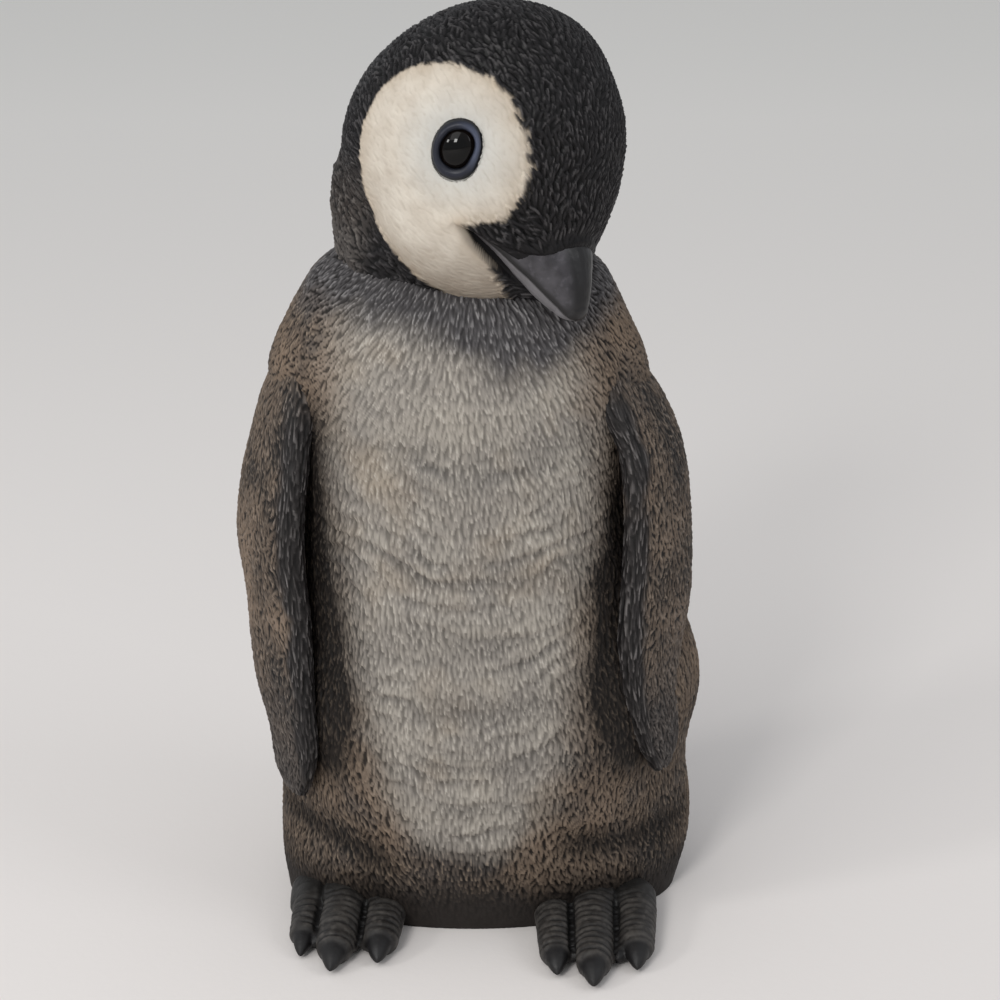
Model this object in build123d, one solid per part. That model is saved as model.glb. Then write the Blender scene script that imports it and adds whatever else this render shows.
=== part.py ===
from build123d import *
import math
import os

# A free-standing penguin chick in cast resin, about 157 mm tall. The front looks
# along -Y, +X is the viewer's right, and the ground is the plane z = 0.
# The castings are pegged and bonded to each other with a thin line of glue.

# Fit and cutting allowances, in millimetres
bond_gap = 0.15
through_length = 70.0

# Body casting, measured from the ground to the seam under the head
collar_height = 118.0
body_half_width = 33.0
belly_depth = 28.0
back_depth = 28.0

# Each row: height, half width, belly, back, sideways shift and flank hollow
body_shares = [
    (0.000, 1.06, 0.72, 0.96, 0.06, 0.0),
    (0.042, 1.09, 0.79, 1.02, 0.07, 0.2),
    (0.120, 1.11, 0.93, 1.08, 0.08, 0.6),
    (0.220, 1.09, 0.99, 1.08, 0.07, 1.0),
    (0.330, 1.135, 1.03, 1.06, 0.095, 1.0),
    (0.490, 1.05, 1.00, 0.98, 0.02, 1.0),
    (0.645, 1.00, 0.95, 0.94, -0.02, 1.0),
    (0.763, 0.985, 0.90, 0.91, -0.045, 0.7),
    (0.840, 0.955, 0.84, 0.88, -0.058, 0.3),
    (0.907, 0.84, 0.77, 0.83, -0.055, 0.0),
    (0.962, 0.73, 0.70, 0.79, -0.045, 0.0),
    (1.000, 0.66, 0.64, 0.76, -0.045, 0.0),
]
flank_hollow = 1.6
rump_sway_share = 0.8
ring_points = 12
body_ring_points = 24
curve_steps = 6

# Heights of the rings that the body is lofted through, as shares
body_ring_shares = (
    0.000, 0.042, 0.095, 0.144, 0.190, 0.229, 0.272, 0.314, 0.360, 0.407, 0.453,
    0.500, 0.546, 0.593, 0.644, 0.695, 0.750, 0.805, 0.860, 0.907, 0.962, 1.000,
)

# Soft folds across the belly, rolls at the hips, a crease over the hem and the
# hollows behind the flippers. Each row: turn round the body with the front at 270
# degrees, height, spread in degrees, spread in height and how far it stands out
fold_depth = 1.0
fold_shares = [
    (270.0, 0.805, 34.0, 0.030, 0.50),
    (268.0, 0.695, 36.0, 0.028, 0.40),
    (272.0, 0.593, 34.0, 0.026, 0.45),
    (266.0, 0.500, 32.0, 0.026, 0.45),
    (271.0, 0.407, 30.0, 0.026, 0.45),
    (269.0, 0.314, 26.0, 0.026, 0.45),
    (270.0, 0.229, 22.0, 0.026, 0.40),
    (232.0, 0.280, 16.0, 0.093, 1.10),
    (308.0, 0.290, 16.0, 0.100, 1.10),
    (222.0, 0.144, 26.0, 0.034, -0.90),
    (318.0, 0.144, 26.0, 0.034, -0.90),
    (214.0, 0.640, 12.0, 0.150, -0.90),
    (326.0, 0.640, 12.0, 0.150, -0.90),
    (228.0, 0.440, 10.0, 0.100, -0.80),
    (312.0, 0.440, 10.0, 0.100, -0.80),
]

# Stub of a tail, low on the back
tail_length = 11.0
tail_half_width = 9.0
tail_half_thickness = 4.5
tail_height = 9.0
tail_droop_share = 0.45

# Each row: reach behind the back and girth, as shares
tail_shares = [
    (-0.90, 1.00),
    (0.00, 0.92),
    (0.60, 0.72),
    (1.00, 0.40),
]

# Head casting: a round skull that draws out to the bill
skull_radius = 22.9
skull_back = 17.6
skull_rise = 18.8
skull_side = 1.7
skull_forward = 2.4
muzzle_reach = 25.9
muzzle_tilt = 22.8
head_yaw = 46.0
head_pitch = 22.5
head_roll = 9.0
neck_plug_radius = 8.0
neck_plug_length = 16.0

# Each row: rise above the seam, half width, front, back and side, as shares
nape_shares = [
    (0.00, 0.915, 0.78, 0.89, -0.065),
    (0.22, 0.930, 0.70, 0.91, -0.070),
    (0.50, 0.935, 0.52, 0.88, -0.055),
    (0.78, 0.890, 0.35, 0.80, -0.040),
    (1.00, 0.760, 0.20, 0.60, -0.010),
]

# Full cheeks that hang under the skull, on both sides of the throat
jowl_half_width = 19.3
jowl_radius = 15.5
jowl_forward = 9.0
jowl_drop = 11.0

# Feathered muzzle at the root of the bill. Each row: distance from the tip of the
# bill, half width, half height and rise, as shares of its size
muzzle_size = 8.2
muzzle_shares = [
    (1.06, 1.00, 0.70, 0.20),
    (1.45, 1.14, 1.00, 0.30),
    (2.00, 1.36, 1.38, 0.45),
    (2.80, 1.50, 1.58, 0.65),
]

# Bill, laid out from its tip back along the line where it opens
bill_length = 8.7
bill_half_width = 7.3
bill_height = 6.9
bill_droop = 26.5
bill_tip_forward = 33.4
bill_tip_drop = 16.6
bill_root = 2.6
lower_bill_depth = 3.0
gape_length = 18.3
gape_width = 0.6
gape_depth = 1.1

# Each row: distance from the tip, half width and height, as shares
bill_shares = [
    (0.000, 0.07, 0.10),
    (0.050, 0.19, 0.30),
    (0.180, 0.34, 0.56),
    (0.450, 0.58, 0.82),
    (0.750, 0.84, 0.96),
    (1.000, 1.00, 1.00),
]
bill_root_shares = (1.02, 0.94)

# Each row: half width and height of the bill's cross-section, from the mouth to the ridge
bill_outline_shares = [
    (1.00, 0.00),
    (0.72, 0.44),
    (0.26, 0.92),
]

# Eyes: a glass ball behind a moulded rim, at the same place on both sides
eye_radius = 3.4
eye_forward = 12.9
eye_side = 19.5
eye_rise = 2.3
eye_show = 1.5
rim_half_width = 3.9
rim_half_height = 4.9
rim_thickness = 2.4
rim_lip = 0.5
rim_opening = 2.6

# Flippers: long blades, thick in front, that lie against the flanks
flipper_top_share = 0.845
left_flipper_length = 75.0
right_flipper_length = 70.6
flipper_chord = 20.5
flipper_thickness = 6.6
flipper_lean = 24.0
flipper_blunt_share = 0.6
flipper_heel_share = 0.12
peg_radius = 2.5
peg_length = 7.0
peg_row = 2

# Each row: way down, sideways and forward place, lean, chord and thickness
left_flipper_shares = [
    (0.00, 0.86, 0.14, 0.75, 0.60, 0.70),
    (0.08, 0.92, 0.20, 0.95, 0.86, 0.92),
    (0.21, 0.98, 0.29, 1.09, 1.00, 1.00),
    (0.40, 1.035, 0.36, 1.30, 1.00, 1.00),
    (0.58, 0.995, 0.41, 1.31, 0.96, 0.94),
    (0.76, 0.967, 0.46, 1.29, 0.90, 0.84),
    (0.89, 0.925, 0.52, 1.25, 0.74, 0.68),
    (0.97, 0.92, 0.55, 1.25, 0.50, 0.46),
    (1.00, 0.91, 0.56, 1.25, 0.28, 0.30),
]
right_flipper_shares = [
    (0.00, 0.72, 0.14, 0.75, 0.62, 0.70),
    (0.08, 0.806, 0.20, 1.00, 0.90, 0.92),
    (0.21, 0.933, 0.29, 1.05, 1.00, 1.00),
    (0.40, 0.976, 0.36, 1.28, 1.00, 1.00),
    (0.58, 0.970, 0.41, 1.42, 0.98, 0.94),
    (0.76, 0.950, 0.46, 1.30, 0.90, 0.84),
    (0.89, 0.975, 0.51, 1.25, 0.70, 0.68),
    (0.97, 1.005, 0.53, 1.22, 0.44, 0.46),
    (1.00, 1.006, 0.54, 1.22, 0.24, 0.30),
]

# Feet: a low pad with three ringed toes, each with a claw
foot_side_share = 0.642
foot_side = foot_side_share * body_half_width
foot_back = 14.0
pad_radius = 11.0
pad_height = 6.6
left_foot_reach = 33.3
right_foot_reach = 38.3
toe_radius = 4.2
toe_root_height = 3.2
toe_tip_height = 1.7
toe_groove = 0.45
toe_rings = 8
toe_taper_share = 0.30
toe_ring_shares = (0.28, 0.70)
toe_end_share = 0.62
claw_set_share = 0.22
claw_length = 4.7
claw_radius = 1.7

# Each row: place of the root, place of the tip, reach and girth, as shares
toe_spread = 7.0
left_toe_shares = [
    (-0.90, -1.03, 0.80, 0.76),
    (-0.04, -0.24, 1.00, 1.05),
    (0.96, 0.86, 0.90, 0.88),
]
right_toe_shares = [
    (-0.96, -0.94, 0.89, 0.82),
    (0.04, -0.06, 1.00, 1.02),
    (1.08, 1.03, 0.835, 0.90),
]

# Each row: way out from the toe, drop and girth of a claw, as shares
claw_shares = [
    (-0.25, 0.00, 0.95),
    (0.25, 0.02, 0.85),
    (0.65, 0.16, 0.55),
    (1.00, 0.40, 0.16),
]

# Pad under the base
felt_half_width = 15.0
felt_half_depth = 11.0
felt_thickness = 1.0


def ring(plane, half_width, front, back):
    """A smooth closed outline with its own depth in front and behind."""
    points = []
    for step in range(ring_points):
        turn = 2 * math.pi * step / ring_points
        depth = back if math.sin(turn) > 0 else front
        points.append((half_width * math.cos(turn), depth * math.sin(turn)))
    return plane * Face(Wire([Spline(*points, periodic=True)]))


def quarter_curve(across, up):
    """A quarter of an oval, from its end on the Y axis to its end on the X axis."""
    points = []
    for step in range(curve_steps + 1):
        turn = math.pi / 2 * step / curve_steps
        points.append((across * math.sin(turn), up * math.cos(turn)))
    return Spline(*points, tangents=[(1, 0), (0, -math.copysign(1, up))])


def row_slopes(rows):
    """How fast each value of a table changes at each of its rows."""
    slopes = []
    for count in range(len(rows)):
        low, high = rows[max(count - 1, 0)], rows[min(count + 1, len(rows) - 1)]
        slopes.append([(b - a) / (high[0] - low[0]) for a, b in zip(low[1:], high[1:])])
    return slopes


def body_section(height):
    """Half width, belly, back, shift and flank hollow of the body at a height."""
    share = min(max(height / collar_height, 0), 1)
    slopes = row_slopes(body_shares)
    for count, (low, high) in enumerate(zip(body_shares, body_shares[1:])):
        if share <= high[0]:
            gap = high[0] - low[0]
            mix = (share - low[0]) / gap
            values = []
            for a, b, out, into in zip(low[1:], high[1:], slopes[count], slopes[count + 1]):
                bend = gap * mix * (1 - mix) * (out * (1 - mix) - into * mix)
                values.append(a + (b - a) * mix**2 * (3 - 2 * mix) + bend)
            sizes = (body_half_width, belly_depth, back_depth, body_half_width, flank_hollow)
            return [value * size for value, size in zip(values, sizes)]


def fold(turn, share):
    """How far the folds and rolls stand out at a turn and a height share."""
    total = 0
    for at, level, spread, tall, rise in fold_shares:
        off = (math.degrees(turn) - at) / spread
        total += rise * math.exp(-(off**2) - ((share - level) / tall) ** 2)
    return total * fold_depth


def body_ring(share, grow):
    """One ring of the body, with its folds."""
    half_width, front, back, side, hollow = body_section(share * collar_height)
    points = []
    for step in range(body_ring_points):
        turn = 2 * math.pi * step / body_ring_points
        ahead = math.sin(turn) < 0
        flank = max(0, -math.sin(3 * turn) * abs(math.cos(turn))) if ahead else 0
        proud = grow + fold(turn, share) - hollow * flank
        wide = half_width + proud
        deep = (front if ahead else back) + proud
        sway = max(side, 0) * rump_sway_share
        points.append((wide * math.cos(turn) + sway * math.sin(turn), deep * math.sin(turn)))
    return Plane((side, 0, share * collar_height)) * Face(Wire([Spline(*points, periodic=True)]))


def body_form(grow=0.0):
    """The body from the hem to the collar, as one loft."""
    return loft([body_ring(share, grow) for share in body_ring_shares])


def tail_form():
    """A short wedge of tail that grows out of the back."""
    _, _, back, side, _ = body_section(tail_height)
    rings = []
    for reach, girth in tail_shares:
        height = tail_height * (1 - tail_droop_share * max(reach, 0))
        centre = (side, back + reach * tail_length, height)
        place = Plane(centre, x_dir=(1, 0, 0), z_dir=(0, 1, 0))
        rings.append(place * Ellipse(tail_half_width * girth, tail_half_thickness * girth))
    return loft(rings)


# A turned form that starts at its own plane and rises from it
standing = (Align.CENTER, Align.CENTER, Align.MIN)

# Places in the head's own frame, where -Y runs out to the bill and +Z is the crown
skull_height = collar_height + skull_rise
head_place = (
    Pos(skull_side, -skull_forward, skull_height)
    * Rot(0, 0, head_yaw)
    * Rot(head_pitch, 0, 0)
    * Rot(0, head_roll, 0)
)
bill_place = (
    head_place * Pos(0, -bill_tip_forward, -bill_tip_drop) * Rot(bill_droop, 0, 0)
)


def turned_oval(radius, back, reach):
    """A half oval behind and another in front, turned about the Y axis in one go."""
    behind = quarter_curve(radius, back)
    ahead = quarter_curve(radius, -reach)
    spine = Line((0, back), (0, -reach))
    return revolve(Face(Wire([behind, ahead, spine])), Axis.Y)


def skull_form(grow=0.0):
    """The skull, short behind and longer towards the bill."""
    form = turned_oval(skull_radius + grow, skull_back + grow, muzzle_reach + grow)
    return head_place * Rot(muzzle_tilt, 0, 0) * form


def jowl_form(grow=0.0):
    """The cheeks and the throat between them, as one oval that lies crosswise."""
    half_width = jowl_half_width + grow
    form = turned_oval(jowl_radius + grow, half_width, half_width)
    return head_place * Pos(0, -jowl_forward, -jowl_drop) * Rot(0, 0, 90) * form


def muzzle_form(grow=0.0):
    """The feathered cone between the skull and the root of the bill."""
    rings = []
    for back, half_width, half_height, rise in muzzle_shares:
        centre = (0, back * muzzle_size, rise * muzzle_size)
        place = Plane(centre, x_dir=(1, 0, 0), z_dir=(0, -1, 0))
        across = half_width * muzzle_size + grow
        rings.append(place * Ellipse(across, half_height * muzzle_size + grow))
    return bill_place * loft(rings)


def nape_form():
    """The neck that carries the skull down to the flat seam."""
    rings = []
    for rise, half_width, front, back, side in nape_shares:
        place = Plane((side * skull_radius, 0, collar_height + rise * skull_rise))
        sizes = [share * skull_radius for share in (half_width, front, back)]
        rings.append(ring(place, *sizes))
    return loft(rings)


def neck_plug(grow=0.0):
    """The round plug that keys the head into the body."""
    low = collar_height - neck_plug_length - grow
    plug = Cylinder(neck_plug_radius + grow, skull_height - low, align=standing)
    return Pos(skull_side, -skull_forward, low) * plug


def bill_half(height, grow=0.0):
    """One half of the bill: a pointed wedge with a rounded ridge and a flat mouth."""
    rows = list(bill_shares)
    rows.append((1 + bill_root / bill_length, *bill_root_shares))
    faces = []
    for back, width_share, height_share in rows:
        half_width = bill_half_width * width_share + grow
        rise = height * height_share + math.copysign(grow, height)
        near = [(half_width * wide, rise * high) for wide, high in bill_outline_shares]
        far = [(-across, up) for across, up in reversed(near)]
        outline = near + [(0, rise)] + far
        place = Plane((0, back * bill_length, 0), x_dir=(1, 0, 0), z_dir=(0, -1, 0))
        edge = Wire([Spline(*outline), Line(outline[-1], outline[0])])
        faces.append(place * Face(edge))
    return bill_place * loft(faces)


def gape_groove():
    """The line of the mouth, cut a little way into both cheeks."""
    middle = (Align.CENTER, Align.MIN, Align.CENTER)
    slab = Box(through_length, gape_length, gape_width, align=middle)
    slot = bill_place * slab - jowl_form(-gape_depth)
    return slot - skull_form(-gape_depth) - muzzle_form(-gape_depth)


def eye_place(side):
    """The seat of one eye, with +Z pointing out of the head."""
    outward = Vector(side * eye_side, -eye_forward, eye_rise)
    upright = Vector(0, 0, 1)
    across = upright.cross(outward)
    return head_place * Plane((0, 0, 0), x_dir=across, z_dir=outward).location


# Height of the head's skin under the eye, along the eye's own axis
eye_reach = math.hypot(eye_forward, eye_side, eye_rise)
muzzle_angle = math.radians(muzzle_tilt)
eye_cosine = (eye_forward * math.cos(muzzle_angle) - eye_rise * math.sin(muzzle_angle)) / eye_reach
eye_seat = 1 / math.sqrt((eye_cosine / muzzle_reach) ** 2 + (1 - eye_cosine**2) / skull_radius**2)


def eye_ball(side, grow=0.0):
    """The glass eye, a ball that stands a little proud of the rim."""
    return eye_place(side) * Pos(0, 0, eye_seat + eye_show - eye_radius) * Sphere(eye_radius + grow)


def eye_rim(side, grow=0.0):
    """The oval lid around the eye, let into the head by its own thickness."""
    low = eye_seat + rim_lip - rim_thickness - grow
    oval = Ellipse(rim_half_width + grow, rim_half_height + grow)
    rim = extrude(oval, rim_thickness + grow)
    if not grow:
        rim = chamfer(rim.edges().group_by(Axis.Z)[-1], rim_lip)
    return eye_place(side) * Pos(0, 0, low) * rim


# The table and the length of each flipper, by its side
flippers = {
    -1: (left_flipper_shares, left_flipper_length),
    1: (right_flipper_shares, right_flipper_length),
}


def flipper_place(side, row):
    """Where the middle of a flipper lies at one row, with +X to its front edge."""
    down, wide, ahead, lean, *_ = row
    angle = math.radians(lean * flipper_lean)
    centre = (
        side * wide * body_half_width,
        -ahead * belly_depth,
        flipper_top_share * collar_height - down * flippers[side][1],
    )
    chord = Vector(-side * math.sin(angle), -math.cos(angle), 0)
    return Plane(centre, x_dir=chord, z_dir=(0, 0, 1))


def flipper_form(side):
    """A blade lofted down the flank through rings with a blunt front edge."""
    faces = []
    for row in flippers[side][0]:
        chord_share, thickness_share = row[-2:]
        points = []
        for step in range(ring_points):
            turn = 2 * math.pi * step / ring_points
            blunt = flipper_blunt_share if math.cos(turn) > 0 else 1
            bulk = math.copysign(abs(math.sin(turn)) ** blunt, math.sin(turn))
            bulk *= 1 - flipper_heel_share * (1 - math.cos(turn))
            along = math.cos(turn) * flipper_chord * chord_share / 2
            points.append((along, bulk * flipper_thickness * thickness_share / 2))
        outline = Face(Wire([Spline(*points, periodic=True)]))
        faces.append(flipper_place(side, row) * outline)
    return loft(faces)


def flipper_peg(side, grow=0.0):
    """The round peg that holds a flipper to the flank."""
    place = flipper_place(side, flippers[side][0][peg_row])
    length = peg_length + flipper_thickness / 2 + grow
    peg = Cylinder(peg_radius + grow, length, align=standing)
    return Plane(place.origin, z_dir=-side * place.y_dir).location * peg


# The reach and the toes of each foot, by its side
feet = {
    -1: (left_foot_reach, left_toe_shares),
    1: (right_foot_reach, right_toe_shares),
}


def toe_lines(side):
    """Root and tip of each toe of one foot, with its girth."""
    lines = []
    reach, toe_shares = feet[side]
    for root_share, tip_share, reach_share, girth in toe_shares:
        root = Vector(side * foot_side + root_share * toe_spread, -foot_back, toe_root_height)
        across = side * foot_side + tip_share * toe_spread
        tip = Vector(across, -reach * reach_share, toe_tip_height)
        lines.append((root, tip, girth))
    return lines


def toe_form(root, tip, girth):
    """A toe turned with rings, thinner to the tip, and a hooked claw."""
    line = tip - root
    radius = toe_radius * girth
    pitch = line.length / toe_rings
    points = [(0, 0)]
    for count in range(toe_rings):
        swell = radius * (1 - toe_taper_share * count / toe_rings)
        base = count * pitch
        points.append((swell - toe_groove, base))
        for share in toe_ring_shares:
            points.append((swell, base + share * pitch))
    points.append((radius * toe_end_share - toe_groove, line.length))
    points.append((claw_radius, line.length + claw_set_share * pitch))
    points.append((0, line.length + claw_set_share * pitch))
    toe = revolve(Plane.XZ * make_face(Polyline(*points, close=True)), Axis.Z)
    place = Plane(root, x_dir=(1, 0, 0), z_dir=line).location
    return place * toe + claw_form(tip, line)


def claw_form(tip, line):
    """A claw that bends down to the ground."""
    ahead = Vector(line.X, line.Y, 0).normalized()
    faces = []
    for out, drop, girth in claw_shares:
        centre = tip + ahead * (out * claw_length) - Vector(0, 0, drop * toe_tip_height)
        lean = ahead - Vector(0, 0, drop)
        faces.append(Plane(centre, x_dir=(1, 0, 0), z_dir=lean) * Circle(claw_radius * girth))
    return loft(faces, ruled=True)


def foot_pad(side, grow=0.0):
    """The low domed pad under the hem, where the toes meet."""
    radius = pad_radius + grow
    height = pad_height + grow
    edge = quarter_curve(radius, height)
    half = Face(Wire([edge, Line((0, height), (0, 0)), Line((0, 0), (radius, 0))]))
    return Pos(side * foot_side, -foot_back, 0) * revolve(Plane.XZ * half, Axis.Z)


def above_ground(form):
    """The part of a form that stands on or above the ground."""
    return split(form, bisect_by=Plane.XY, keep=Keep.TOP)


def foot(side):
    """One foot: the pad and its three toes, cut flat on the ground."""
    form = foot_pad(side)
    for root, tip, girth in toe_lines(side):
        form += toe_form(root, tip, girth)
    return above_ground(form)


def foot_arch(side):
    """The room that one foot takes out of the hem."""
    room = foot_pad(side, bond_gap)
    for root, tip, girth in toe_lines(side):
        line = tip - root
        tunnel = Cylinder(toe_radius * girth + bond_gap, line.length, align=standing)
        room += Plane(root, x_dir=(1, 0, 0), z_dir=line).location * tunnel
    return room


def felt(grow=0.0):
    """The oval pad let into the underside."""
    _, front, back, side, _ = body_section(0)
    oval = Ellipse(felt_half_width + grow, felt_half_depth + grow)
    return Pos(side, (back - front) / 2, 0) * extrude(oval, felt_thickness)


body = body_form()
body_room = body_form(bond_gap)

upper_bill = bill_half(bill_height)
lower_bill = bill_half(-lower_bill_depth)
bill_room = bill_half(bill_height, bond_gap) + bill_half(-lower_bill_depth, bond_gap)

torso = body + tail_form()
torso -= skull_form(bond_gap)
torso -= muzzle_form(bond_gap)
torso -= jowl_form(bond_gap)
torso -= neck_plug(bond_gap)
torso -= felt(bond_gap)
torso -= bill_room
head = skull_form() + muzzle_form() + jowl_form() + nape_form() + neck_plug()
head -= bill_room
head -= gape_groove()

pieces = {
    "upper_bill": upper_bill,
    "lower_bill": lower_bill,
    "felt_pad": felt(),
}
for side, name in ((-1, "left"), (1, "right")):
    torso -= flipper_peg(side, bond_gap)
    torso -= foot_arch(side)
    head -= eye_rim(side, bond_gap)
    head -= eye_ball(side, bond_gap)
    hole = eye_place(side) * Cylinder(rim_opening, through_length)
    pieces[f"{name}_eye"] = eye_ball(side)
    pieces[f"{name}_eye_rim"] = eye_rim(side) - eye_ball(side, bond_gap) - hole
    pieces[f"{name}_flipper"] = flipper_form(side) - body_room + flipper_peg(side)
    pieces[f"{name}_foot"] = foot(side)
pieces["torso"] = torso
pieces["head"] = head

os.makedirs("parts", exist_ok=True)
for name, shape in pieces.items():
    export_step(shape, f"parts/{name}.step")
    print(name, round(shape.volume), "mm3", len(shape.solids()), "solid")
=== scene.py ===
# %% [markdown]
# A penguin chick in painted cast resin, built as a lesson in sculpted surfaces.
# The real object is a set of castings: body, head, two flippers and two feet.
# Their down is carved into the moulds as thousands of short strokes, then washed
# with dark paint that stays in the grooves and dry-brushed with a lighter one.
# The same order is used here: plain form first, strokes second, paint last.
# The packed model gives the frame, so each casting is made where its solid stands.

# %% Load the frame
import bpy
import math
import numpy as np
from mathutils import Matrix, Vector


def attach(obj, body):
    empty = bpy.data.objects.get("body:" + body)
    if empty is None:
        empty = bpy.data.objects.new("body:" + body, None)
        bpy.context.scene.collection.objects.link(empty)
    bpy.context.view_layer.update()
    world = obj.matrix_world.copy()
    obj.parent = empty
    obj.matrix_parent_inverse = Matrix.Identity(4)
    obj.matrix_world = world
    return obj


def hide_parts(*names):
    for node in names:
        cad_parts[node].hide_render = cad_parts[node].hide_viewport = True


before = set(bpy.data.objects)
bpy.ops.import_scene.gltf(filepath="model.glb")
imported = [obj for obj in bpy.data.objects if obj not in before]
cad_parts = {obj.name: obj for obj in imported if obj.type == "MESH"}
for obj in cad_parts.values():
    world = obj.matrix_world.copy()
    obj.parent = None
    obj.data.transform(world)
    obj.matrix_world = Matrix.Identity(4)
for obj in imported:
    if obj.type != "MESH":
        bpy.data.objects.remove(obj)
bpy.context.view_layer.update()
MM = 0.001
print("nodes", sorted(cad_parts))

# %% [markdown]
# The camera stands where the photographer stood: a little above the object, looking
# down by 18 degrees, 400 mm from the middle of the body. The lens then follows from
# the size of the object in the picture.

# %% Camera
aim = np.array([5.2, 0.0, 72.0])
camera_distance = 400.0
camera_drop = math.radians(18.0)
sight = np.array([0.0, -math.cos(camera_drop), math.sin(camera_drop)])
camera_data = bpy.data.cameras.new("camera")
camera_data.lens = 83.45
camera_data.sensor_width = 36.0
camera_data.clip_start = 0.01
camera_data.clip_end = 20.0
camera = bpy.data.objects.new("camera", camera_data)
camera.location = Vector((aim + camera_distance * sight) * MM)
camera.rotation_mode = "QUATERNION"
camera.rotation_quaternion = Vector(-sight).to_track_quat("-Z", "Y")
bpy.context.scene.collection.objects.link(camera)
bpy.context.scene.camera = camera
print("camera at", [round(v, 3) for v in camera.location])

# %% [markdown]
# Everything carved is random in its detail but must come out the same each time, so
# all chance comes from one seeded generator and one table of noise. The noise is
# value noise: random numbers on a lattice, blended smoothly between its corners.

# %% Noise
chance = np.random.default_rng(7)
noise_table = chance.random(4096)
# Primes that scatter neighbouring cells, and the seed, over the table
prime_x, prime_y, prime_z, prime_seed = 73, 179, 283, 577


def bell(value, spread):
    """A smooth bump: 1 at zero, and falling away over the spread."""
    return np.exp(-((value / spread) ** 2))


def noise(points, size, seed=0):
    """Smooth noise from -1 to 1 at points, with features of the given size."""
    p = points / size
    cell = np.floor(p).astype(np.int64)
    part = p - cell
    part = part * part * (3 - 2 * part)
    total = np.zeros(p.shape[:-1])
    for corner in range(8):
        step = np.array([corner & 1, corner >> 1 & 1, corner >> 2 & 1])
        weight = np.prod(np.where(step, part, 1 - part), axis=-1)
        x, y, z = np.moveaxis(cell + step, -1, 0)
        place = x * prime_x + y * prime_y + z * prime_z + seed * prime_seed
        total += weight * noise_table[place % len(noise_table)]
    return 2 * total - 1


def layered(points, size, seed=0, layers=3):
    """Several sizes of noise added up, each half as large and half as strong."""
    parts = [noise(points, size / 2**n, seed + n) / 2**n for n in range(layers)]
    return sum(parts) / 1.5


def ease(low, high, value):
    """A smooth step from 0 at low to 1 at high."""
    share = np.clip((value - low) / (high - low), 0, 1)
    return share * share * (3 - 2 * share)


print("noise from", len(noise_table), "numbers")

# %% [markdown]
# A casting's skin is a grid of points: rows run one way over the surface and columns
# run round it. A grid is easy to carve, because the neighbours of each point are
# known, and its rows can follow the way the down lies.
#
# A stroke is a small raised leaf. It rises slowly from its root and drops at its
# tip, so that rows of strokes overlap like scales. Where two strokes meet, the
# higher one wins. The skin also remembers which stroke won, so that each can be
# painted a little differently.

# %% Skin
stroke_reach = 3.0


def leaf(u, v):
    """Height of one stroke, from 0 to 1: u runs along it and v across it, both from -1 to 1."""
    rise = np.clip((u + 1) / 1.75, 0, 1) ** 0.8 * np.clip((1 - u) / 0.25, 0, 1) ** 0.5
    spread = 1 - np.abs(v / (0.55 + 0.45 * np.clip(1 - u * u, 0, 1))) ** 2.2
    return rise * np.clip(spread, 0, 1)


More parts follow.
